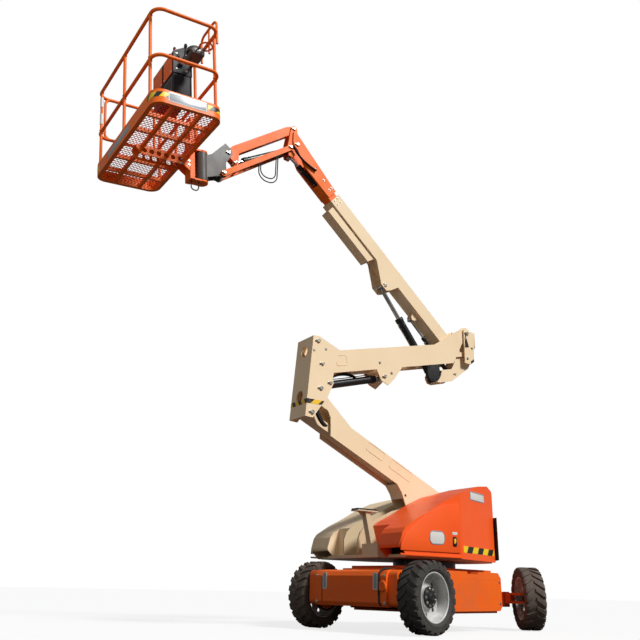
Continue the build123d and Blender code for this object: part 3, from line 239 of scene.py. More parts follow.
# a dark brown for the battery and the nose seams, also laid over the carrier's opening as painted shade
HAZARD = stripes("hazard_tape", (1.0, -1.0, 0.9), 0.17, (250, 214, 20), (22, 22, 22))
HAZARD_HOOD = stripes("hazard_hood", (1.0, -0.35, 0.7), 0.27, (252, 206, 10), (24, 22, 22))
HAZARD_STAND = stripes("hazard_stand", (1.0, 1.0, 0.8), 0.15, (252, 200, 40), (26, 24, 22))
MESH = paint("mesh_paint", (226, 66, 30), (168, 36, 14), rough=0.45, coat=0.1)


def dress(node, mat):
    """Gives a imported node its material."""
    o = NODES[node]
    o.data.materials.clear()
    o.data.materials.append(mat)


# ---------------------------------------------------------------- frames of the moving parts
LEFT = -Vector(J["lower_lift"]["axis"])
UP = Vector((0, 0, 1))
AHEAD = LEFT.cross(UP)


def local(origin, x=AHEAD, y=LEFT, z=None):
    """A frame with x along the part, y to the left and z upward from it."""
    x = Vector(x).normalized()
    z = x.cross(y).normalized() if z is None else z
    m = Matrix((x, y, z)).transposed().to_4x4()
    m.translation = Vector(origin)
    return m


def between(a, b):
    return Vector(J[b]["pos_m"]) - Vector(J[a]["pos_m"])


# Each is at its part's own joint. DECK is on the ground under the slew axis, turned with the turntable.
# FOOT and CARRY are the points that the upright's and the carrier's outlines are drawn from.
DECK = local((0, 0, 0))
FOOT = DECK @ Matrix.Translation((1.600, 0, 2.500))
CARRY = DECK @ Matrix.Translation((-0.734, 0, 3.658))
LOWER = local(J["lower_lift"]["pos_m"], between("lower_lift", "upright_hinge"))
STAND = local(J["upright_hinge"]["pos_m"])
MID = local(J["mid_lift"]["pos_m"], -between("mid_lift", "carrier_hinge"))
HINGE = local(J["main_lift"]["pos_m"])
MAIN = local(J["main_lift"]["pos_m"], J["fly_extend"]["axis"])
KNEE = local(J["bracket_hinge"]["pos_m"])
JIB = local(J["jib_lift"]["pos_m"], between("jib_lift", "jib_head_hinge"))
HEAD = local(J["jib_head_hinge"]["pos_m"])
TILT = Vector(J["platform_rotate"]["axis"])
FLOOR = local(Vector(J["platform_rotate"]["pos_m"]) + LEFT.cross(TILT) * 0.55 + TILT * 0.237,
              LEFT.cross(TILT))
SIDES = (1, -1)


# ---------------------------------------------------------------- making pieces
def piece(name, mesh, mat, body, smooth=30):
    o = bpy.data.objects.new(name, mesh)
    bpy.context.scene.collection.objects.link(o)
    mesh.materials.append(mat)
    if smooth:
        mesh.shade_smooth()
        mesh.set_sharp_from_angle(angle=radians(smooth))
    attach(o, body)
    return o


def from_bm(bm, name):
    bmesh.ops.recalc_face_normals(bm, faces=bm.faces)
    mesh = bpy.data.meshes.new(name)
    bm.to_mesh(mesh)
    bm.free()
    return mesh


def soften(bm, width, segments=2, angle=35):
    edges = [e for e in bm.edges if len(e.link_faces) == 2 and e.calc_face_angle() > radians(angle)]
    bmesh.ops.bevel(bm, geom=edges, offset=width, segments=segments, affect="EDGES", profile=0.6)


def add_prism(bm, m, outline, low, high):
    """A flat outline in the x-z plane of m, from y = low to high."""
    a = [bm.verts.new(m @ Vector((x, low, z))) for x, z in outline]
    b = [bm.verts.new(m @ Vector((x, high, z))) for x, z in outline]
    bm.faces.new(a)
    bm.faces.new(b[::-1])
    for i in range(len(a)):
        bm.faces.new((a[i], b[i], b[(i + 1) % len(a)], a[(i + 1) % len(a)]))


def prism(name, m, outline, low, high, mat, body, soft=0.0015):
    bm = bmesh.new()
    add_prism(bm, m, outline, low, high)
    bmesh.ops.recalc_face_normals(bm, faces=bm.faces)
    if soft:
        soften(bm, soft)
    return piece(name, from_bm(bm, name), mat, body)


def rounded(w, h, r, at=(0, 0), steps=5):
    """A rectangle's outline with round corners."""
    out = []
    for k, (sx, sy) in enumerate(((1, 1), (-1, 1), (-1, -1), (1, -1))):
        for i in range(steps + 1):
            a = radians(90 * k + 90 * i / steps)
            out.append((at[0] + sx * (w / 2 - r) + r * cos(a), at[1] + sy * (h / 2 - r) + r * sin(a)))
    return out


def add_rings(bm, rings):
    """Quads between rings of as many corners each."""
    for p, q in zip(rings, rings[1:]):
        for i in range(len(p)):
            bm.faces.new((p[i], p[(i + 1) % len(p)], q[(i + 1) % len(p)], q[i]))


def add_lathe(bm, m, profile, steps=24, turn=0.0):
    """Turns a profile of (radius, height) pairs about the z axis of m."""
    rings = []
    for r, z in profile:
        if r <= 0:
            rings.append([bm.verts.new(m @ Vector((0, 0, z)))])
        else:
            rings.append([bm.verts.new(m @ Vector((r * cos(turn + 2 * pi * i / steps),
                                                   r * sin(turn + 2 * pi * i / steps), z)))
                          for i in range(steps)])
    for a, b in zip(rings, rings[1:]):
        for i in range(steps):
            j = (i + 1) % steps
            if len(a) == 1 and len(b) == 1:
                continue
            if len(a) == 1:
                bm.faces.new((a[0], b[i], b[j]))
            elif len(b) == 1:
                bm.faces.new((a[i], a[j], b[0]))
            else:
                bm.faces.new((a[i], a[j], b[j], b[i]))


def lathe(name, m, profile, mat, body, steps=24, smooth=30):
    bm = bmesh.new()
    add_lathe(bm, m, profile, steps)
    return piece(name, from_bm(bm, name), mat, body, smooth)


def side_frame(m, s, v, n, out):
    """A frame at a spot in m with z pointing out of its left (1) or right (-1) side."""
    x, y, z = m.col[0].xyz, m.col[1].xyz * out, m.col[2].xyz
    f = Matrix((x, y.cross(x), y)).transposed().to_4x4()
    f.translation = m @ Vector((s, v, n))
    return f


def pins(name, body, m, spots, mat=ZINC):
    """Pin ends on both sides, with a keeper each. spots: along, up, half the width, radius."""
    bm = bmesh.new()
    for s, n, half, r in spots:
        for out in SIDES:
            f = side_frame(m, s, out * half, n, out)
            add_lathe(bm, f, [(0, 0), (r, 0), (r, 0.007), (r - 0.003, 0.010), (r * 0.55, 0.0105),
                              (r * 0.5, 0.007), (0, 0.0065)])
            k = f @ Matrix.Translation((r * 0.9 + 0.012, 0, 0))
            add_lathe(bm, k, [(0, 0), (0.013, 0), (0.013, 0.003), (0.011, 0.0035), (0.011, 0.0035)], 16)
            add_lathe(bm, k, [(0, 0.003), (0.009, 0.003), (0.009, 0.0105), (0.0075, 0.012), (0, 0.012)], 6)
    bmesh.ops.remove_doubles(bm, verts=bm.verts, dist=1e-6)
    return piece(name, from_bm(bm, name), mat, body)


def bolts(name, body, frames, r=0.011, mat=ZINC):
    """Hexagon heads on washers, one at the origin of each frame, z outward."""
    bm = bmesh.new()
    for f in frames:
        add_lathe(bm, f, [(0, 0), (r * 1.7, 0), (r * 1.7, r * 0.22), (0, r * 0.22)], 20)
        add_lathe(bm, f, [(0, r * 0.2), (r, r * 0.2), (r, r * 1.0), (r * 0.86, r * 1.15), (0, r * 1.15)], 6)
    return piece(name, from_bm(bm, name), mat, body)


def tube(name, points, radius, mat, body, order=3, steps=12):
    """A hose or pipe on a smooth curve that these points pull on."""
    curve = bpy.data.curves.new(name, "CURVE")
    curve.dimensions = "3D"
    curve.bevel_depth = radius
    curve.bevel_resolution = 4
    curve.resolution_u = steps
    curve.use_fill_caps = True
    spline = curve.splines.new("NURBS")
    spline.points.add(len(points) - 1)
    for p, q in zip(spline.points, points):
        p.co = (*q, 1)
    spline.order_u = order
    spline.use_endpoint_u = True
    o = bpy.data.objects.new(name, curve)
    bpy.context.scene.collection.objects.link(o)
    curve.materials.append(mat)
    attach(o, body)
    return o


# ---------------------------------------------------------------- carried-over CAD nodes
# the first row whose words are in a node's name gives its material
COATS = (
    (("tyre",), TYRE),
    (("rim",), RIM),
    (("chassis_frame", "drive_axle", "steer_axle"), ORANGE_LOW),
    (("hood_left",), HOOD),
    (("hood_right",), CREAM),
    (("turntable_frame", "boom_rest"), TAN),
    (("_rod",), CHROME),
    (("_barrel", "steer_cylinder", "slew_bearing", "counterweight"), BLACK),
    (("knuckle",), CASTING),
    (("jib_head",), GREY),
    (("lower_boom", "lower_link", "upright", "mid_boom", "mid_link", "boom_carrier", "base_boom",
      "hose_tray"), CREAM),
    (("battery",), DARK_AND_PAINTED_SHADE),
    (("rest_pad", "hose"), RUBBER),
    (("control_console",), CONSOLE),
    (("",), ORANGE),
)
for node in NODES:
    dress(node, next(mat for words, mat in COATS if any(word in node for word in words)))


# ---------------------------------------------------------------- stage
def pale_floor():
    """A white floor that takes soft shadows and throws little light back up."""
    n = Net("floor")
    out = n.t.nodes["Material Output"]
    seen = n.add("ShaderNodeLightPath").outputs["Is Camera Ray"]
    n.link(n.mix(seen, (0.10, 0.09, 0.085, 1), (0.86, 0.86, 0.86, 1)), n.bsdf.inputs["Base Color"])
    n.bsdf.inputs["Roughness"].default_value = 0.9
    n.bsdf.inputs["Specular IOR Level"].default_value = 0.1
    glow = n.add("ShaderNodeEmission", Strength=1.0)
    glow.inputs["Color"].default_value = (1, 1, 1, 1)
    mix = n.add("ShaderNodeMixShader")
    path = n.add("ShaderNodeLightPath")
    n.link(n.math("MULTIPLY", path.outputs["Is Camera Ray"], 0.80), mix.inputs[0])
    n.link(n.bsdf.outputs[0], mix.inputs[1])
    n.link(glow.outputs[0], mix.inputs[2])
    n.link(mix.outputs[0], out.inputs["Surface"])
    bm = bmesh.new()
    bmesh.ops.create_grid(bm, x_segments=4, y_segments=4, size=60)
    mesh = bpy.data.meshes.new("floor")
    bm.to_mesh(mesh)
    bm.free()
    floor = bpy.data.objects.new("floor", mesh)
    bpy.context.scene.collection.objects.link(floor)
    mesh.materials.append(n.mat)


def white_world():
    """White to the camera, dim to the object, with a little more in what its gloss mirrors."""
    world = bpy.data.worlds.new("World")
    bpy.context.scene.world = world
    world.use_nodes = True
    t = world.node_tree
    bg = t.nodes["Background"]
    bg.inputs["Color"].default_value = (0.95, 0.97, 1.0, 1)
    bg.inputs["Strength"].default_value = 0.15
    white = t.nodes.new("ShaderNodeBackground")
    white.inputs["Color"].default_value = (1, 1, 1, 1)
    white.inputs["Strength"].default_value = 1.0
    path = t.nodes.new("ShaderNodeLightPath")
    both = t.nodes.new("ShaderNodeMath")
    both.operation = "MULTIPLY_ADD"
    both.inputs[1].default_value = 0.16
    t.links.new(path.outputs["Is Glossy Ray"], both.inputs[0])
    t.links.new(path.outputs["Is Camera Ray"], both.inputs[2])
    mix = t.nodes.new("ShaderNodeMixShader")
    t.links.new(both.outputs[0], mix.inputs[0])
    t.links.new(bg.outputs[0], mix.inputs[1])
    t.links.new(white.outputs[0], mix.inputs[2])
    t.links.new(mix.outputs[0], t.nodes["World Output"].inputs["Surface"])


def lights():
    """A large soft key from the left, high, and a faint fill from ahead."""
    for name, kind, power, place, size in (
            ("key", "SUN", 3.5, (-0.5, 8.0, 7.5), 0.25),
            ("fill", "AREA", 62, (8.0, 1.0, 5.0), 5.0)):
        data = bpy.data.lights.new(name, kind)
        data.energy = power
        if kind == "SUN":
            data.angle = size
        else:
            data.size = size
        light = bpy.data.objects.new(name, data)
        bpy.context.scene.collection.objects.link(light)
        light.location = place
        aim = Vector((0.8, 0, 2.4 if kind == "AREA" else 0)) - Vector(place)
        light.rotation_euler = aim.to_track_quat("-Z", "Y").to_euler()


bpy.context.scene.view_settings.view_transform = "Standard"
camera()
pale_floor()
white_world()
lights()

# ---------------------------------------------------------------- wheels
WHEELS = (("drive_left", 1, TYRE), ("drive_right", -1, TYRE_DUSTY), ("steer_left", 1, TYRE_DUSTY),
          ("steer_right", -1, TYRE))
TYRE_R, BEAD_R, LUGS, NUTS = 0.349, 0.235, 22, 9


def wheel_frame(name, side):
    """A frame at a wheel's centre, z out of its outer side."""
    joint = J[name.replace("_", "_wheel_")]
    z = Vector(joint["axis"]) * side
    x = Vector((z.y, -z.x, 0)).normalized()
    m = Matrix((x, z.cross(x), z)).transposed().to_4x4()
    m.translation = Vector(joint["pos_m"])
    return m


def tread_bar(bm, m, start, sign):
    """One slanted tread bar, from the middle of the tread over the shoulder and down the side wall."""
    pitch = 2 * pi / LUGS
    rings = []
    # across the tyre, outer radius, share of a pitch that the bar fills, and how far it has slanted
    for z, top, wide, turn in ((0.004, TYRE_R, 0.19, 0.0), (0.035, TYRE_R, 0.22, 0.20),
                               (0.070, TYRE_R, 0.27, 0.42), (0.098, TYRE_R - 0.001, 0.31, 0.56),
                               (0.113, TYRE_R - 0.008, 0.31, 0.62), (0.1195, TYRE_R - 0.026, 0.28, 0.62),
                               (0.1205, TYRE_R - 0.060, 0.20, 0.62)):
        low = min(TYRE_R - 0.017, top - 0.008)
        a = start + turn * pitch
        rings.append([bm.verts.new(m @ Vector((r * cos(a + w * pitch), r * sin(a + w * pitch), sign * z)))
                      for r, w in ((low, wide), (top, wide * 0.86), (top, -wide * 0.86), (low, -wide))])
    for a, b in zip(rings, rings[1:]):
        for i in range(3):
            bm.faces.new((a[i], a[i + 1], b[i + 1], b[i]))
    bm.faces.new(rings[0])
    bm.faces.new(rings[-1][::-1])


def tyre(name, m, mat, body):
    """The carcass, with a raised ring on each side wall, and its tread bars."""
    bm = bmesh.new()
    half = [(BEAD_R, 0.100), (BEAD_R + 0.012, 0.110), (0.262, 0.1165), (0.266, 0.1195), (0.272, 0.1195),
            (0.276, 0.117), (0.300, 0.1175), (TYRE_R - 0.030, 0.116), (TYRE_R - 0.016, 0.094)]
    profile = [(r, -z) for r, z in half] + [(TYRE_R - 0.014, 0.0)] + half[::-1] + [(BEAD_R, -0.100)]
    add_lathe(bm, m, profile, 88)
    bmesh.ops.remove_doubles(bm, verts=bm.verts, dist=1e-6)
    for i in range(LUGS):
        tread_bar(bm, m, 2 * pi * i / LUGS, 1)
        tread_bar(bm, m, 2 * pi * (i + 0.5) / LUGS, -1)
    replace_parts(piece(f"{name}_tread", from_bm(bm, name), mat, body), f"{name}_tyre")


def hub(name, m, body):
    """Hub cap, wheel nuts, the rim's two lips and the valve."""
    lathe(f"{name}_hub", m, [(0, 0.066), (0.030, 0.066), (0.036, 0.062), (0.052, 0.060), (0.058, 0.051),
                             (0.094, 0.0475), (0.1015, 0.0435), (0.1015, 0.031)], BLACK, body, 40)
    bolts(f"{name}_nuts", body,
          [m @ Matrix.Rotation(2 * pi * i / NUTS, 4, "Z") @ Matrix.Translation((0.078, 0, 0.048))
           for i in range(NUTS)], 0.0095)
    bm = bmesh.new()
    for z0, z1 in ((0.089, 0.100), (-0.089, -0.100)):
        add_lathe(bm, m, [(0.2255, z0), (0.2255, z1), (0.231, z1 * 1.03), (0.241, z1 * 1.02), (0.243, z1)],
                  72)
    valve = m @ Matrix.Translation((0.20, 0, 0.02))
    add_lathe(bm, valve, [(0.006, 0), (0.006, 0.03), (0.004, 0.032), (0, 0.032)], 10)
    piece(f"{name}_lip", from_bm(bm, name), RIM, body)


for name, side, mat in WHEELS:
    m = wheel_frame(name, side)
    body = name.replace("_", "_wheel_")
    tyre(name, m, mat, body)
    hub(name, m, body)


# ---------------------------------------------------------------- plates and bars
def plate(name, m, w, h, thick, mat, body, r=0.008, rim=None, soft=0.0008):
    """A thin blank plate on the x-y plane of m; with rim, a raised border of that material."""
    flat = m @ Matrix.Rotation(radians(90), 4, "X")
    prism(name, flat, rounded(w, h, r), 0, thick, mat, body, soft)
    if rim:
        bm = bmesh.new()
        outer, inner = rounded(w + 0.014, h + 0.014, r + 0.007), rounded(w - 0.006, h - 0.006, r * 0.7)
        add_rings(bm, [[bm.verts.new(m @ Vector((x, y, z))) for x, y in line]
                       for line, z in ((outer, 0), (outer, thick + 0.001), (inner, thick + 0.002),
                                       (inner, thick * 0.5))])
        piece(name + "_rim", from_bm(bm, name), rim, body)


def bead(name, m, w, h, r, top, mat, body):
    """A low weld bead round a rounded rectangle on the x-y plane of m."""
    bm = bmesh.new()
    add_rings(bm, [[bm.verts.new(m @ Vector((x, y, z))) for x, y in rounded(w + 2 * g, h + 2 * g, r + g)]
                   for g, z in ((0.003, 0), (0.001, top), (-0.001, top), (-0.003, 0))])
    piece(name, from_bm(bm, name), mat, body, 60)


def loop_tube(name, m, outline, radius, mat, body, closed=True, steps=8):
    """A round bar that follows an outline in the x-y plane of m."""
    bm = bmesh.new()
    pts = [Vector((x, y, 0)) for x, y in outline]
    turns = [2 * pi * k / steps for k in range(steps)]
    rings = []
    for i, p in enumerate(pts):
        a = pts[i - 1] if (closed or i) else p
        b = pts[(i + 1) % len(pts)] if (closed or i < len(pts) - 1) else p
        d = (b - a).normalized()
        n = Vector((d.y, -d.x, 0))
        rings.append([bm.verts.new(m @ (p + n * radius * cos(t) + Vector((0, 0, radius * sin(t)))))
                      for t in turns])
    add_rings(bm, rings + rings[:1] if closed else rings)
    if not closed:
        bm.faces.new(rings[0])
        bm.faces.new(rings[-1][::-1])
    return piece(name, from_bm(bm, name), mat, body, 50)


def strip(name, m, outline, mat, body, half, thick=0.0015):
    """Flat tape on both side faces of a part, at half its width."""
    for k, out in enumerate(SIDES):
        low, high = sorted((out * half, out * (half + thick)))
        prism(f"{name}_{k}", m, outline, low, high, mat, body, 0)


def arc(radius, first, last, step):
    """Points on an arc about the origin, angles in degrees."""
    return [(radius * cos(radians(t)), radius * sin(radians(t))) for t in range(first, last, step)]


# ---------------------------------------------------------------- platform
# half the depth and half the width of the toe board, and its corners' radius
HD, HW, CORNER = 0.380, 0.915, 0.120
ACROSS, RISE, OUT = (FLOOR.col[i].xyz for i in (1, 2, 0))


def corner(sa, sv, before, after):
    """Spots round a platform corner: a straight run on the end, the arc, a straight run on the side."""
    ca, cv = sa * (HD - CORNER), sv * (HW - CORNER)
    spots = [(ca - sa * before, sv * HW, 0, sv)]
    for i in range(13):
        t = radians(90 - 90 * i / 12)
        spots.append((ca + sa * CORNER * cos(t), cv + sv * CORNER * sin(t), sa * cos(t), sv * sin(t)))
    spots.append((sa * HD, cv - sv * after, sa, 0))
    return spots


def wrap(name, spots, low, high, lift=0.0012):
    """Hazard tape along a line of (a, v, outward a, outward v) spots, from height low to high."""
    bm = bmesh.new()
    rows = [[bm.verts.new(FLOOR @ Vector((a + oa * d, v + ov * d, w)))
             for d, w in ((0, low), (lift, low), (lift, high), (0, high))] for a, v, oa, ov in spots]
    add_rings(bm, rows)
    bm.faces.new(rows[0])
    bm.faces.new(rows[-1][::-1])
    return piece(name, from_bm(bm, name), HAZARD, "platform")


def toe_board():
    """Hazard tapes round the corners, and bare plates where the name was."""
    wrap("tape_front_left", corner(1, 1, 0.10, 0.05), 0.062, 0.118)
    wrap("tape_rear_left", corner(-1, 1, 0.06, 0.02), 0.062, 0.118)
    wrap("tape_front_right", corner(1, -1, 0.02, 0.06), 0.040, 0.100)
    wrap("tape_rear_right", corner(-1, -1, 0.06, 0.06), 0.062, 0.118)
    plate("end_plate", side_frame(FLOOR, 0.02, HW, 0.080, 1), 0.40, 0.092, 0.0015, PLATE_GREY, "platform",
          rim=LABEL)
    front = local(FLOOR @ Vector((HD, -0.10, 0.072)), ACROSS, RISE, OUT)
    plate("front_strip", front, 0.66, 0.070, 0.0015, PLATE_GREY, "platform")


def mesh_floor():
    """Expanded metal: slit and stretched sheet, so its strands zigzag and meet in diamonds."""
    bm = bmesh.new()
    da, dv, thick, wide = 0.0205, 0.030, 0.0050, 0.0062
    rows, cols = int((2 * HD - 0.05) / da), int((2 * HW - 0.05) / dv)
    a0, v0 = -rows * da / 2, -cols * dv / 2
    for i in range(rows + 1):
        prev = None
        for k in range(cols + 1):
            a = a0 + (i + (0.42 if (k + i) % 2 else -0.42) * 0.98) * da
            v = v0 + k * dv
            if abs(v) > HW - CORNER and abs(a) > HD - CORNER:
                if ((abs(a) - HD + CORNER) ** 2 + (abs(v) - HW + CORNER) ** 2) ** 0.5 > CORNER - 0.008:
                    prev = None
                    continue
            row = [bm.verts.new(FLOOR @ Vector((a + p, v, 0.0445 + q)))
                   for p, q in ((-wide / 2, 0.0), (wide / 2, 0.001), (wide / 2, thick + 0.001),
                                (-wide / 2, thick))]
            if prev:
                add_rings(bm, [prev, row])
            prev = row
    o = piece("expanded_floor", from_bm(bm, "expanded_floor"), MESH, "platform", 20)
    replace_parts(o, "platform_floor")


def gate():
    """The gate's loop at the right end, and white bands on the post beside it."""
    end = local(FLOOR @ Vector((0, -HW + 0.019, 0)), OUT, RISE, -ACROSS)
    loop_tube("gate_loop", end, rounded(0.62, 0.545, 0.07, (-0.03, 0.835)), 0.016, ORANGE, "platform")
    post = FLOOR @ Matrix.Translation((HD - 0.019, -0.84 * HW, 0))
    for w0, w1 in ((0.66, 0.80), (0.89, 1.02)):
        lathe(f"white_band_{int(w0 * 100)}", post,
              [(0.0192, w0), (0.0202, w0 + 0.001), (0.0202, w1 - 0.001), (0.0192, w1)], LABEL, "platform")


# the rear rail's inner face, which the control station hangs on
RAIL_FACE = -(HD - 0.038)


def from_rail(*spots):
    """An outline whose first numbers count from the rear rail."""
    return [(RAIL_FACE + a, w) for a, w in spots]


def quarters(m, x, y, lift):
    """Four frames round the middle of m, one near each corner."""
    return [m @ Matrix.Translation((sx * x, sy * y, lift)) for sx in (-1, 1) for sy in (-1, 1)]


def console():
    """The control station: a black case, lift-off covers, vents below them, a control head and levers."""
    case = from_rail((0, 0.66), (0.20, 0.66), (0.222, 0.69), (0.222, 0.921), (0, 0.921))
    prism("console_case", FLOOR, case, -0.352, 0.232, CONSOLE, "platform", 0.008)
    face = local(FLOOR @ Vector((RAIL_FACE + 0.2255, -0.06, 1.06)), ACROSS, RISE, OUT)
    for k, x in enumerate((-0.142, 0.150)):
        cover = face @ Matrix.Translation((x, 0.0, 0))
        plate(f"cover_{k}", cover, 0.236, 0.262, 0.006, ORANGE, "platform", 0.012, soft=0.002)
        bolts(f"cover_rivets_{k}", "platform", quarters(cover, 0.098, 0.112, 0.006), 0.008, LABEL)
        low = face @ Matrix.Translation((x, -0.272, -0.002))
        plate(f"vent_{k}", low, 0.226, 0.190, 0.004, GREY, "platform", 0.010, soft=0.001)
        for i in range(6):
            rib = low @ Matrix.Translation((0, -0.07 + 0.028 * i, 0.004))
            plate(f"vent_{k}_rib_{i}", rib, 0.19, 0.008, 0.004, BLACK, "platform", 0.003, soft=0.001)
    end = local(FLOOR @ Vector((RAIL_FACE + 0.125, 0.2345, 1.075)), -OUT, RISE, ACROSS)
    plate("end_cover", end, 0.150, 0.235, 0.005, ORANGE, "platform", 0.012, soft=0.002)
    bolts("end_rivets", "platform", quarters(end, 0.060, 0.100, 0.005), 0.007, LABEL)
    head = from_rail((0.01, 0.96), (0.15, 0.96), (0.175, 1.00), (0.13, 1.055), (0.01, 1.065))
    prism("console_head", FLOOR, head, 0.36, 0.60, GREY, "platform", 0.012)
    dome = [(0.095 * cos(radians(t)), 0.060 * sin(radians(t))) for t in range(0, 90, 9)]
    lathe("console_dome", FLOOR @ Matrix.Translation((RAIL_FACE + 0.085, 0.49, 1.055)),
          [(0.090, -0.02)] + dome + [(0, 0.060)], GREY, "platform", 36, 60)
    # along the case, foot's height, length and lean in degrees
    for k, (v, foot, h, lean) in enumerate(((0.30, 1.07, 0.13, -14), (0.05, 1.262, 0.10, 8),
                                            (-0.12, 1.262, 0.10, -5))):
        m = (FLOOR @ Matrix.Translation((RAIL_FACE + 0.12, v, foot))
             @ Matrix.Rotation(radians(lean), 4, "X"))
        lathe(f"lever_{k}", m, [(0.034, 0.0), (0.030, 0.012), (0.024, 0.016), (0.024, 0.022), (0.016, 0.028),
                                (0.016, 0.034), (0.008, 0.040), (0.008, h), (0.017, h + 0.01),
                                (0.020, h + 0.035), (0.014, h + 0.055), (0, h + 0.058)],
              RUBBER, "platform", 20, 50)
    slope = Matrix.Rotation(radians(33), 4, "Y")
    bolts("console_switches", "platform",
          [FLOOR @ Matrix.Translation((RAIL_FACE + 0.165, -0.28 + 0.055 * i, 1.257)) @ slope
           for i in range(4)], 0.009, BLACK)
    bolts("console_stop", "platform",
          [FLOOR @ Matrix.Translation((RAIL_FACE + 0.165, 0.17, 1.255)) @ slope], 0.02, MESH)


def guard():
    """The guard beside the levers: an upright hoop with a middle bar and a small ring."""
    m = local(FLOOR @ Vector((RAIL_FACE - 0.019, 0.65, 0)), ACROSS, RISE, OUT)
    bend = arc(0.08, 0, 91, 15)
    hoop = ([(-0.19, 0.97)] + [(-0.11 - x, 1.205 + y) for x, y in bend]
            + [(0.11 + y, 1.205 + x) for x, y in bend] + [(0.19, 0.97)])
    loop_tube("guard_hoop", m, hoop, 0.014, ORANGE, "platform", False)
    loop_tube("guard_bar", m, [(0, 1.285), (0, 1.12), (0, 0.97)], 0.012, ORANGE, "platform", False)
    ring = FLOOR @ Matrix.Translation((RAIL_FACE + 0.02, 0.65, 1.045))
    loop_tube("guard_ring", ring, arc(0.07, 0, 360, 15), 0.010, ORANGE, "platform")


def rails():
    """Weld collars where the rails meet the posts, and the bolts of the beam below."""
    for k, (sa, share) in enumerate(((1, 0.84), (1, 0.02), (1, -0.84), (-1, 0.84), (-1, 0.3), (-1, -0.3),
                                     (-1, -0.84))):
        bm = bmesh.new()
        for w in (0.150, 0.541, 0.579, 1.092):
            add_lathe(bm, FLOOR @ Matrix.Translation((sa * (HD - 0.019), share * HW, w)),
                      [(0.0185, -0.006), (0.0225, -0.003), (0.0235, 0.0), (0.0225, 0.003), (0.0185, 0.006)],
                      16)
        piece(f"rail_weld_{k}", from_bm(bm, "weld"), ORANGE, "platform", 60)
    bolts("beam_bolts", "platform",
          [side_frame(FLOOR, -0.372 + 0.09 * (i % 2), s * 0.069, -0.05 - 0.05 * (i // 2), s)
           for i in range(4) for s in SIDES], 0.009)


toe_board()
mesh_floor()
gate()
console()
guard()
rails()

# ---------------------------------------------------------------- pins and bolts of the arms
# name, body, frame, and for each pin: along, up, half the width over its ends, radius
PINS = (
    ("rotator_pins", "jib_head", HEAD, ((0, 0, 0.0705, 0.019), (0.048, -0.300, 0.0965, 0.019))),
    ("bracket_pins", "level_bracket", KNEE, ((0.049, 0.221, 0.0705, 0.019), (0.097, -0.079, 0.0965, 0.019))),
    ("nose_pins", "fly_boom", KNEE, ((0, 0, 0.0905, 0.021),)),
    ("jib_lug_pins", "jib_beam", JIB, ((1.060, -0.125, 0.0455, 0.013),)),
    ("stand_pins", "upright", STAND, ((0, 0, 0.1725, 0.024), (0.110, -0.286, 0.1725, 0.024),
                                      (0.048, 0.550, 0.1725, 0.024), (-0.014, 0.288, 0.1725, 0.019),
                                      (-0.129, 0.082, 0.1725, 0.019))),
    ("carrier_pins", "boom_carrier", HINGE, ((0.062, 0.262, 0.1625, 0.024), (0, 0, 0.1135, 0.024),
                                             (0.560, -0.420, 0.0945, 0.021), (0.240, -0.320, 0.0865, 0.012))),
    ("mid_lug_pins", "mid_boom", MID, ((-0.905, -0.471, 0.1385, 0.021),)),
    ("lower_lug_pins", "lower_boom", LOWER, ((0.707, -0.511, 0.1205, 0.023),)),
    ("main_lug_pins", "base_boom", MAIN, ((1.485, -0.415, 0.0955, 0.021),)),
    ("deck_pins", "turntable", DECK, ((-0.620, 1.479, 0.1505, 0.024), (-0.510, 1.193, 0.1505, 0.024))),
)
# name, body, frame, half the part's width, the heads' radius, and along and up for each
SIDE_BOLTS = (
    ("base_pad_bolts", "base_boom", MAIN, 0.0955, 0.008, ((2.655, -0.145), (2.655, -0.205), (2.715, -0.145),
                                                          (2.715, -0.205))),
    ("nose_bolts", "fly_boom", MAIN, 0.0845, 0.009, ((2.86, -0.155), (2.86, -0.110), (3.00, -0.130))),
    ("mid_bolts", "mid_boom", MID, 0.1305, 0.011, ((-1.02, -0.44), (-0.87, -0.30))),
    ("upright_bolts", "upright", STAND, 0.1665, 0.010, ((-0.055, 0.47), (0.105, 0.43))),
    ("carrier_bolts", "boom_carrier", HINGE, 0.1565, 0.011, ((-0.02, 0.07), (0.07, -0.09), (0.09, 0.19))),
    ("rest_bolts", "turntable", DECK, 0.1405, 0.012, ((0.30, 0.86), (0.55, 0.86), (0.85, 0.90))),
)
for name, body, m, spots in PINS:
    pins(name, body, m, spots)
for name, body, m, half, r, spots in SIDE_BOLTS:
    bolts(name, body, [side_frame(m, s, o * half, n, o) for s, n in spots for o in SIDES], r)

# ---------------------------------------------------------------- hydraulic cylinders
# the barrel's radius, its length, and where its pipe starts from the hinge
RAMS = {"lower_lift": (0.050, 0.790, 0.055), "tower_lift": (0.045, 0.775, 0.055),
        "main_lift": (0.048, 0.900, 0.050), "master": (0.025, 0.640, 0.030), "level": (0.030, 0.380, 0.034),
        "jib_lift": (0.038, 0.715, 0.044)}


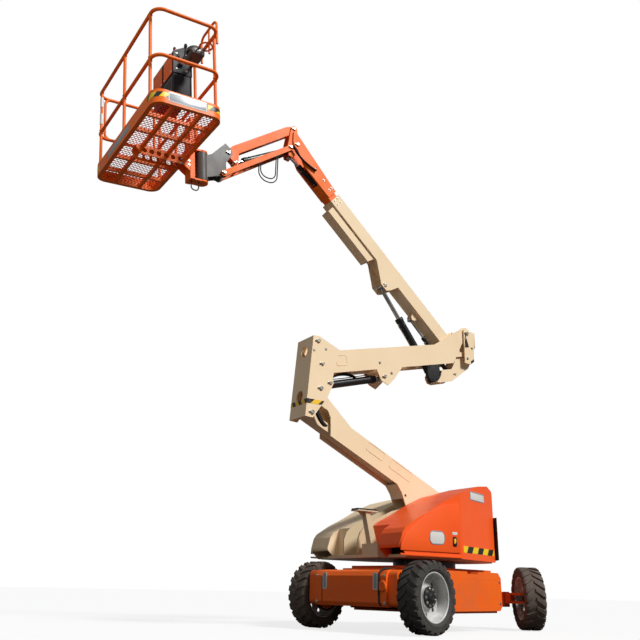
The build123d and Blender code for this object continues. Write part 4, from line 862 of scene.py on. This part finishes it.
def ram(name, r, length, start):
    """Collars on a barrel, its two ports and the pipe between them."""
    m = local(J[f"{name}_barrel_hinge"]["pos_m"], Vector(J[f"{name}_rod_slide"]["axis"]))
    body = f"{name}_barrel"
    along = m @ Matrix.Rotation(radians(90), 4, "Y")
    bm = bmesh.new()
    for z, w, extra in ((length - 0.052, 0.044, 0.005), (start + 0.012, 0.022, 0.003),
                        (length - 0.10, 0.010, 0.003)):
        add_lathe(bm, along, [(r - 0.001, z), (r + extra - 0.0015, z + 0.001), (r + extra, z + 0.004),
                              (r + extra, z + w - 0.004), (r + extra - 0.0015, z + w - 0.001),
                              (r - 0.001, z + w)], 32)
    piece(f"{name}_collars", from_bm(bm, name), BLACK, body, 40)
    up = r + 0.012
    bm = bmesh.new()
    for s in (start + 0.05, length - 0.07):
        f = m @ Matrix.Translation((s, 0, -r + 0.004)) @ Matrix.Rotation(pi, 4, "X")
        add_lathe(bm, f, [(0, 0), (0.012, 0), (0.012, 0.012), (0.009, 0.014), (0.009, 0.020), (0, 0.020)], 6)
    piece(f"{name}_ports", from_bm(bm, name), ZINC, body, 40)
    tube(f"{name}_pipe", [m @ Vector(p) for p in (
        (start + 0.05, 0, -r - 0.010), (start + 0.08, 0, -up - 0.012), (start + 0.12, 0.002, -up),
        (length - 0.14, 0.002, -up), (length - 0.10, 0, -up - 0.012), (length - 0.07, 0, -r - 0.010))],
         0.0055, ZINC if name == "main_lift" else RUBBER, body)
    if name == "tower_lift":
        for k, v in enumerate((-0.018, 0.0, 0.020)):
            tube(f"tower_hose_{k}", [m @ Vector(p) for p in (
                (start + 0.02, v, -r - 0.006), (start + 0.10, v, -r - 0.040),
                (start + 0.26, v * 1.4, -r - 0.062 - 0.01 * k), (start + 0.40, v, -r - 0.030),
                (start + 0.44, v, -r - 0.004))], 0.008, RUBBER, body)


for name, sizes in RAMS.items():
    ram(name, *sizes)


# ---------------------------------------------------------------- tapes and hoses on the tower
def front_edge(z):
    """How far ahead of FOOT the upright's sloping front is at a height."""
    return 0.201 - (z + 0.328) * 82 / 945


def tower_tapes():
    """Hazard tape round the upright's foot and on the carrier, and a dark sheet of painted shade over the
    carrier's opening.
    """
    low, high = -0.182, -0.128
    strip("stand_band_side", FOOT, [(front_edge(low), low), (front_edge(high), high), (-0.046, high),
                                    (-0.010, -0.176)], HAZARD_STAND, "upright", 0.1662)
    prism("stand_band_front", FOOT, [(front_edge(low) - 0.001, low), (front_edge(high) - 0.001, high),
                                     (front_edge(high) + 0.0018, high), (front_edge(low) + 0.0018, low)],
          -0.1665, 0.1665, HAZARD_STAND, "upright", 0)
    strip("carrier_patch", CARRY, [(-0.098, -0.340), (-0.113, -0.368), (-0.060, -0.412), (-0.045, -0.384)],
          HAZARD_STAND, "boom_carrier", 0.1562)
    # painted shade: a flat dark sheet on each side of the carrier where its opening is
    strip("carrier_opening_painted_shade", CARRY, [(0.035, 0.010), (-0.030, -0.190), (0.046, -0.205)], DARK_AND_PAINTED_SHADE,
          "boom_carrier", 0.1561, 0.0008)


def tower_hoses():
    """Hoses at the upright's foot, at the knee, and in the rubber guide below the mid boom's rear end."""
    for k in range(6):
        v, bend = 0.123 + 0.013 * (k % 3), 0.021 * (k // 3)
        pts = [(1.600 + bend, 2.440), (1.648 + bend, 2.340), (1.620 + bend, 2.240), (1.575 + bend, 2.165),
               (1.540 + bend, 2.125), (1.500 + bend, 2.100)]
        tube(f"stand_hose_{k}", [DECK @ Vector((x, v, z)) for x, z in pts], 0.0105, RUBBER, "lower_boom", 4)
    for k, v in enumerate((0.088, 0.101, 0.114)):
        pts = [(3.15, -0.150), (3.34, -0.225 - 0.01 * k), (3.47, -0.235), (3.56, -0.190)]
        tube(f"knee_hose_{k}", [MAIN @ Vector((s, v, n)) for s, n in pts], 0.007, RUBBER, "fly_boom", 4)
    guide = [(-0.10, 3.13), (-0.235, 3.17), (-0.255, 3.06), (-0.225, 2.955), (-0.15, 2.915),
             (-0.075, 2.925), (-0.045, 3.00)]
    prism("hose_guide", DECK, guide, 0.094, 0.126, RUBBER, "mid_boom", 0.010)
    for k in range(3):
        v = 0.098 + 0.012 * k
        pts = [(-0.06, 3.10), (-0.036, 2.985), (-0.07, 2.905), (-0.16, 2.893), (-0.24, 2.945), (-0.272, 3.06)]
        tube(f"guide_hose_{k}", [DECK @ Vector((x, v, z)) for x, z in pts], 0.010, RUBBER, "mid_boom", 4)


def boom_welds():
    """Weld beads round the cover plates on the booms' sides."""
    # along, up, width and height of each plate
    for name, m, half, spots in (
            ("lower", LOWER, 0.1122, ((1.05, -0.215, 0.34, 0.11), (1.46, -0.21, 0.26, 0.10))),
            ("mid", MID, 0.1302, ((-0.30, -0.24, 0.15, 0.12),))):
        for k, (s, n, w, h) in enumerate(spots):
            for out, tag in zip(SIDES, "lr"):
                bead(f"{name}_weld_{k}_{tag}", side_frame(m, s, out * half, n, out), w, h, 0.02, 0.0035,
                     CREAM, f"{name}_boom")


tower_tapes()
tower_hoses()
boom_welds()

# ---------------------------------------------------------------- turntable
HOOD_HALF, PANEL_HALF = 0.820, 0.833


def hood_side(side, tag, skin):
    """A hood's raised panel with its badge and latch, the slanted side's plate and tape, and the foot."""
    line = [(1.040, 0.790), (0.215, 0.790), (0.200, 0.810), (0.200, 1.290), (0.230, 1.310), (0.420, 1.290),
            (0.600, 1.215), (0.760, 1.115), (0.880, 1.030), (0.970, 0.965), (1.030, 0.870)]
    low, high = sorted((side * 0.818, side * PANEL_HALF))
    prism(f"hood_{tag}_bulge", DECK, line, low, high, skin, "turntable", 0.010)
    badge = side_frame(DECK, 0.545, side * PANEL_HALF, 0.935, side)
    plate(f"badge_{tag}", badge, 0.200, 0.125, 0.003, LABEL, "turntable", 0.050, PLATE_GREY)
    label = side_frame(DECK, 0.290, side * PANEL_HALF, 0.990, side)
    plate(f"latch_label_{tag}", label, 0.072, 0.030, 0.0012, LABEL, "turntable")
    latch = side_frame(DECK, 0.295, side * PANEL_HALF, 0.905, side)
    plate(f"latch_well_{tag}", latch, 0.060, 0.105, 0.0015, BLACK, "turntable", 0.018)
    plate(f"latch_grip_{tag}", latch @ Matrix.Translation((0.004, side * 0.004, 0.002)), 0.028, 0.070, 0.012,
          HAZARD_STAND, "turntable", 0.010, soft=0.003)
    a, b = Vector((0.170, side * HOOD_HALF, 0)), Vector((-0.690, side * 0.470, 0))
    run = (DECK.to_3x3() @ (b - a)).normalized()
    # z has to point outward, so the frame stands on its head on one side
    tall = 1 if run.cross(UP).dot(LEFT * side) >= 0 else -1
    face = local(DECK @ a, run, UP * tall, run.cross(UP * tall))
    plate(f"side_plate_{tag}", face @ Matrix.Translation((0.47, tall * 1.430, 0.0005)), 0.40, 0.085, 0.0015,
          LABEL, "turntable", rim=PLATE_GREY)
    plate(f"side_tape_{tag}", face @ Matrix.Translation((0.46, tall * 0.838, 0.0003)), 0.88, 0.068, 0.0012,
          HAZARD_HOOD, "turntable", 0.003, soft=0)
    prism(f"hood_foot_{tag}", DECK, [(1.035, 0.742), (0.200, 0.742), (0.200, 0.762), (1.045, 0.762)],
          *sorted((side * 0.819, side * 0.829)), skin, "turntable", 0.003)


def deck_cables():
    """A bundle of grey and black cables that comes up out of the turntable beside the boom."""
    for k in range(12):
        y, sway = 0.135 + 0.012 * (k % 4), 0.02 * ((k * 7) % 5) - 0.04
        pts = [(0.30 + 0.035 * (k % 6), 0.80), (0.36 + sway + 0.02 * (k % 6), 0.96),
               (0.30 + 0.03 * (k % 5) - sway, 1.10), (0.42 + sway, 1.20), (0.25 + 0.03 * (k % 4), 1.25),
               (0.12 + 0.03 * (k % 4), 1.16)]
        tube(f"deck_cable_{k}", [DECK @ Vector((x, y + 0.012 * (i % 2), z)) for i, (x, z) in enumerate(pts)],
             0.008, PLATE_GREY if k % 3 else RUBBER, "turntable", 4)


hood_side(1, "left", HOOD)
hood_side(-1, "right", CREAM)
bolts("pivot_bolts", "turntable",
      [side_frame(DECK, -0.620 + 0.045 * cos(t), o * 0.1502, 1.479 + 0.045 * sin(t), o)
       for t in (0.5, 2.6, 4.7) for o in SIDES], 0.007)
deck_cables()
# gear motor of the slew drive, below the deck's front edge
lathe("slew_motor", DECK @ Matrix.Translation((0.455, 0.285, 0.655)),
      [(0.070, 0.0), (0.074, 0.004), (0.074, 0.016), (0.050, 0.022), (0.050, 0.060), (0.042, 0.066),
       (0, 0.066)],
      BLACK, "chassis", 28, 40)

# ---------------------------------------------------------------- chassis
NOSE = local(Vector((1.312, 0, 0.425)), Vector((0, 1, 0)), UP, Vector((1, 0, 0)))


def nose():
    """The end face: seams, blank labels, a round boss, bolts and the hose that comes down over it."""
    for k, y in enumerate((-0.385, 0.385)):
        inward = 0.038 if y < 0 else -0.038
        plate(f"seam_{k}", NOSE @ Matrix.Translation((y, -0.02, 0.0002)), 0.010, 0.250, 0.0008, DARK_AND_PAINTED_SHADE,
              "chassis", 0.002, soft=0)
        plate(f"front_label_{k}", NOSE @ Matrix.Translation((y + inward, 0.065, 0.0003)), 0.046, 0.150,
              0.0012, PLATE_GREY, "chassis", rim=LABEL)
    lathe("front_boss", NOSE @ Matrix.Translation((0.438, 0.020, 0)),
          [(0.052, 0), (0.052, 0.010), (0.046, 0.016), (0.030, 0.017), (0.026, 0.012), (0, 0.012)],
          ORANGE_LOW, "chassis", 32)
    bolts("front_bolts", "chassis",
          [NOSE @ Matrix.Translation((x, y, 0)) for x in (-0.46, 0.46) for y in (-0.14, 0.12)], 0.009)
    tube("front_hose", [Vector(p) for p in (
        (1.20, 0.470, 0.612), (1.27, 0.430, 0.615), (1.318, 0.402, 0.590), (1.324, 0.398, 0.50),
        (1.324, 0.396, 0.40), (1.320, 0.398, 0.30), (1.300, 0.400, 0.262))], 0.010, RUBBER, "chassis", 4)


def flank(side, tag):
    """The side box's weld bead and bolts, and the drive motor's housing between the box and the wheel."""
    ahead, out = Vector((1, 0, 0)), Vector((0, side, 0))

    def on(x, y, z):
        return local(Vector((x, side * y, z)), ahead, out.cross(ahead), out)

    bead(f"box_edge_{tag}", on(0, 0.655, 0.40), 0.96, 0.30, 0.03, 0.002, ORANGE_LOW, "chassis")
    bolts(f"box_bolts_{tag}", "chassis",
          [on(x, 0.655, z) for x in (-0.545, 0.545) for z in (0.29, 0.52)], 0.009)
    lathe(f"motor_ring_{tag}", on(1.005, 0.600, 0.35),
          [(0.165, -0.004), (0.165, 0.010), (0.152, 0.012), (0.152, 0.050), (0.140, 0.058), (0.120, 0.059)],
          BLACK, "chassis", 40, 40)


nose()
for side, tag in zip(SIDES, "lr"):
    flank(side, tag)
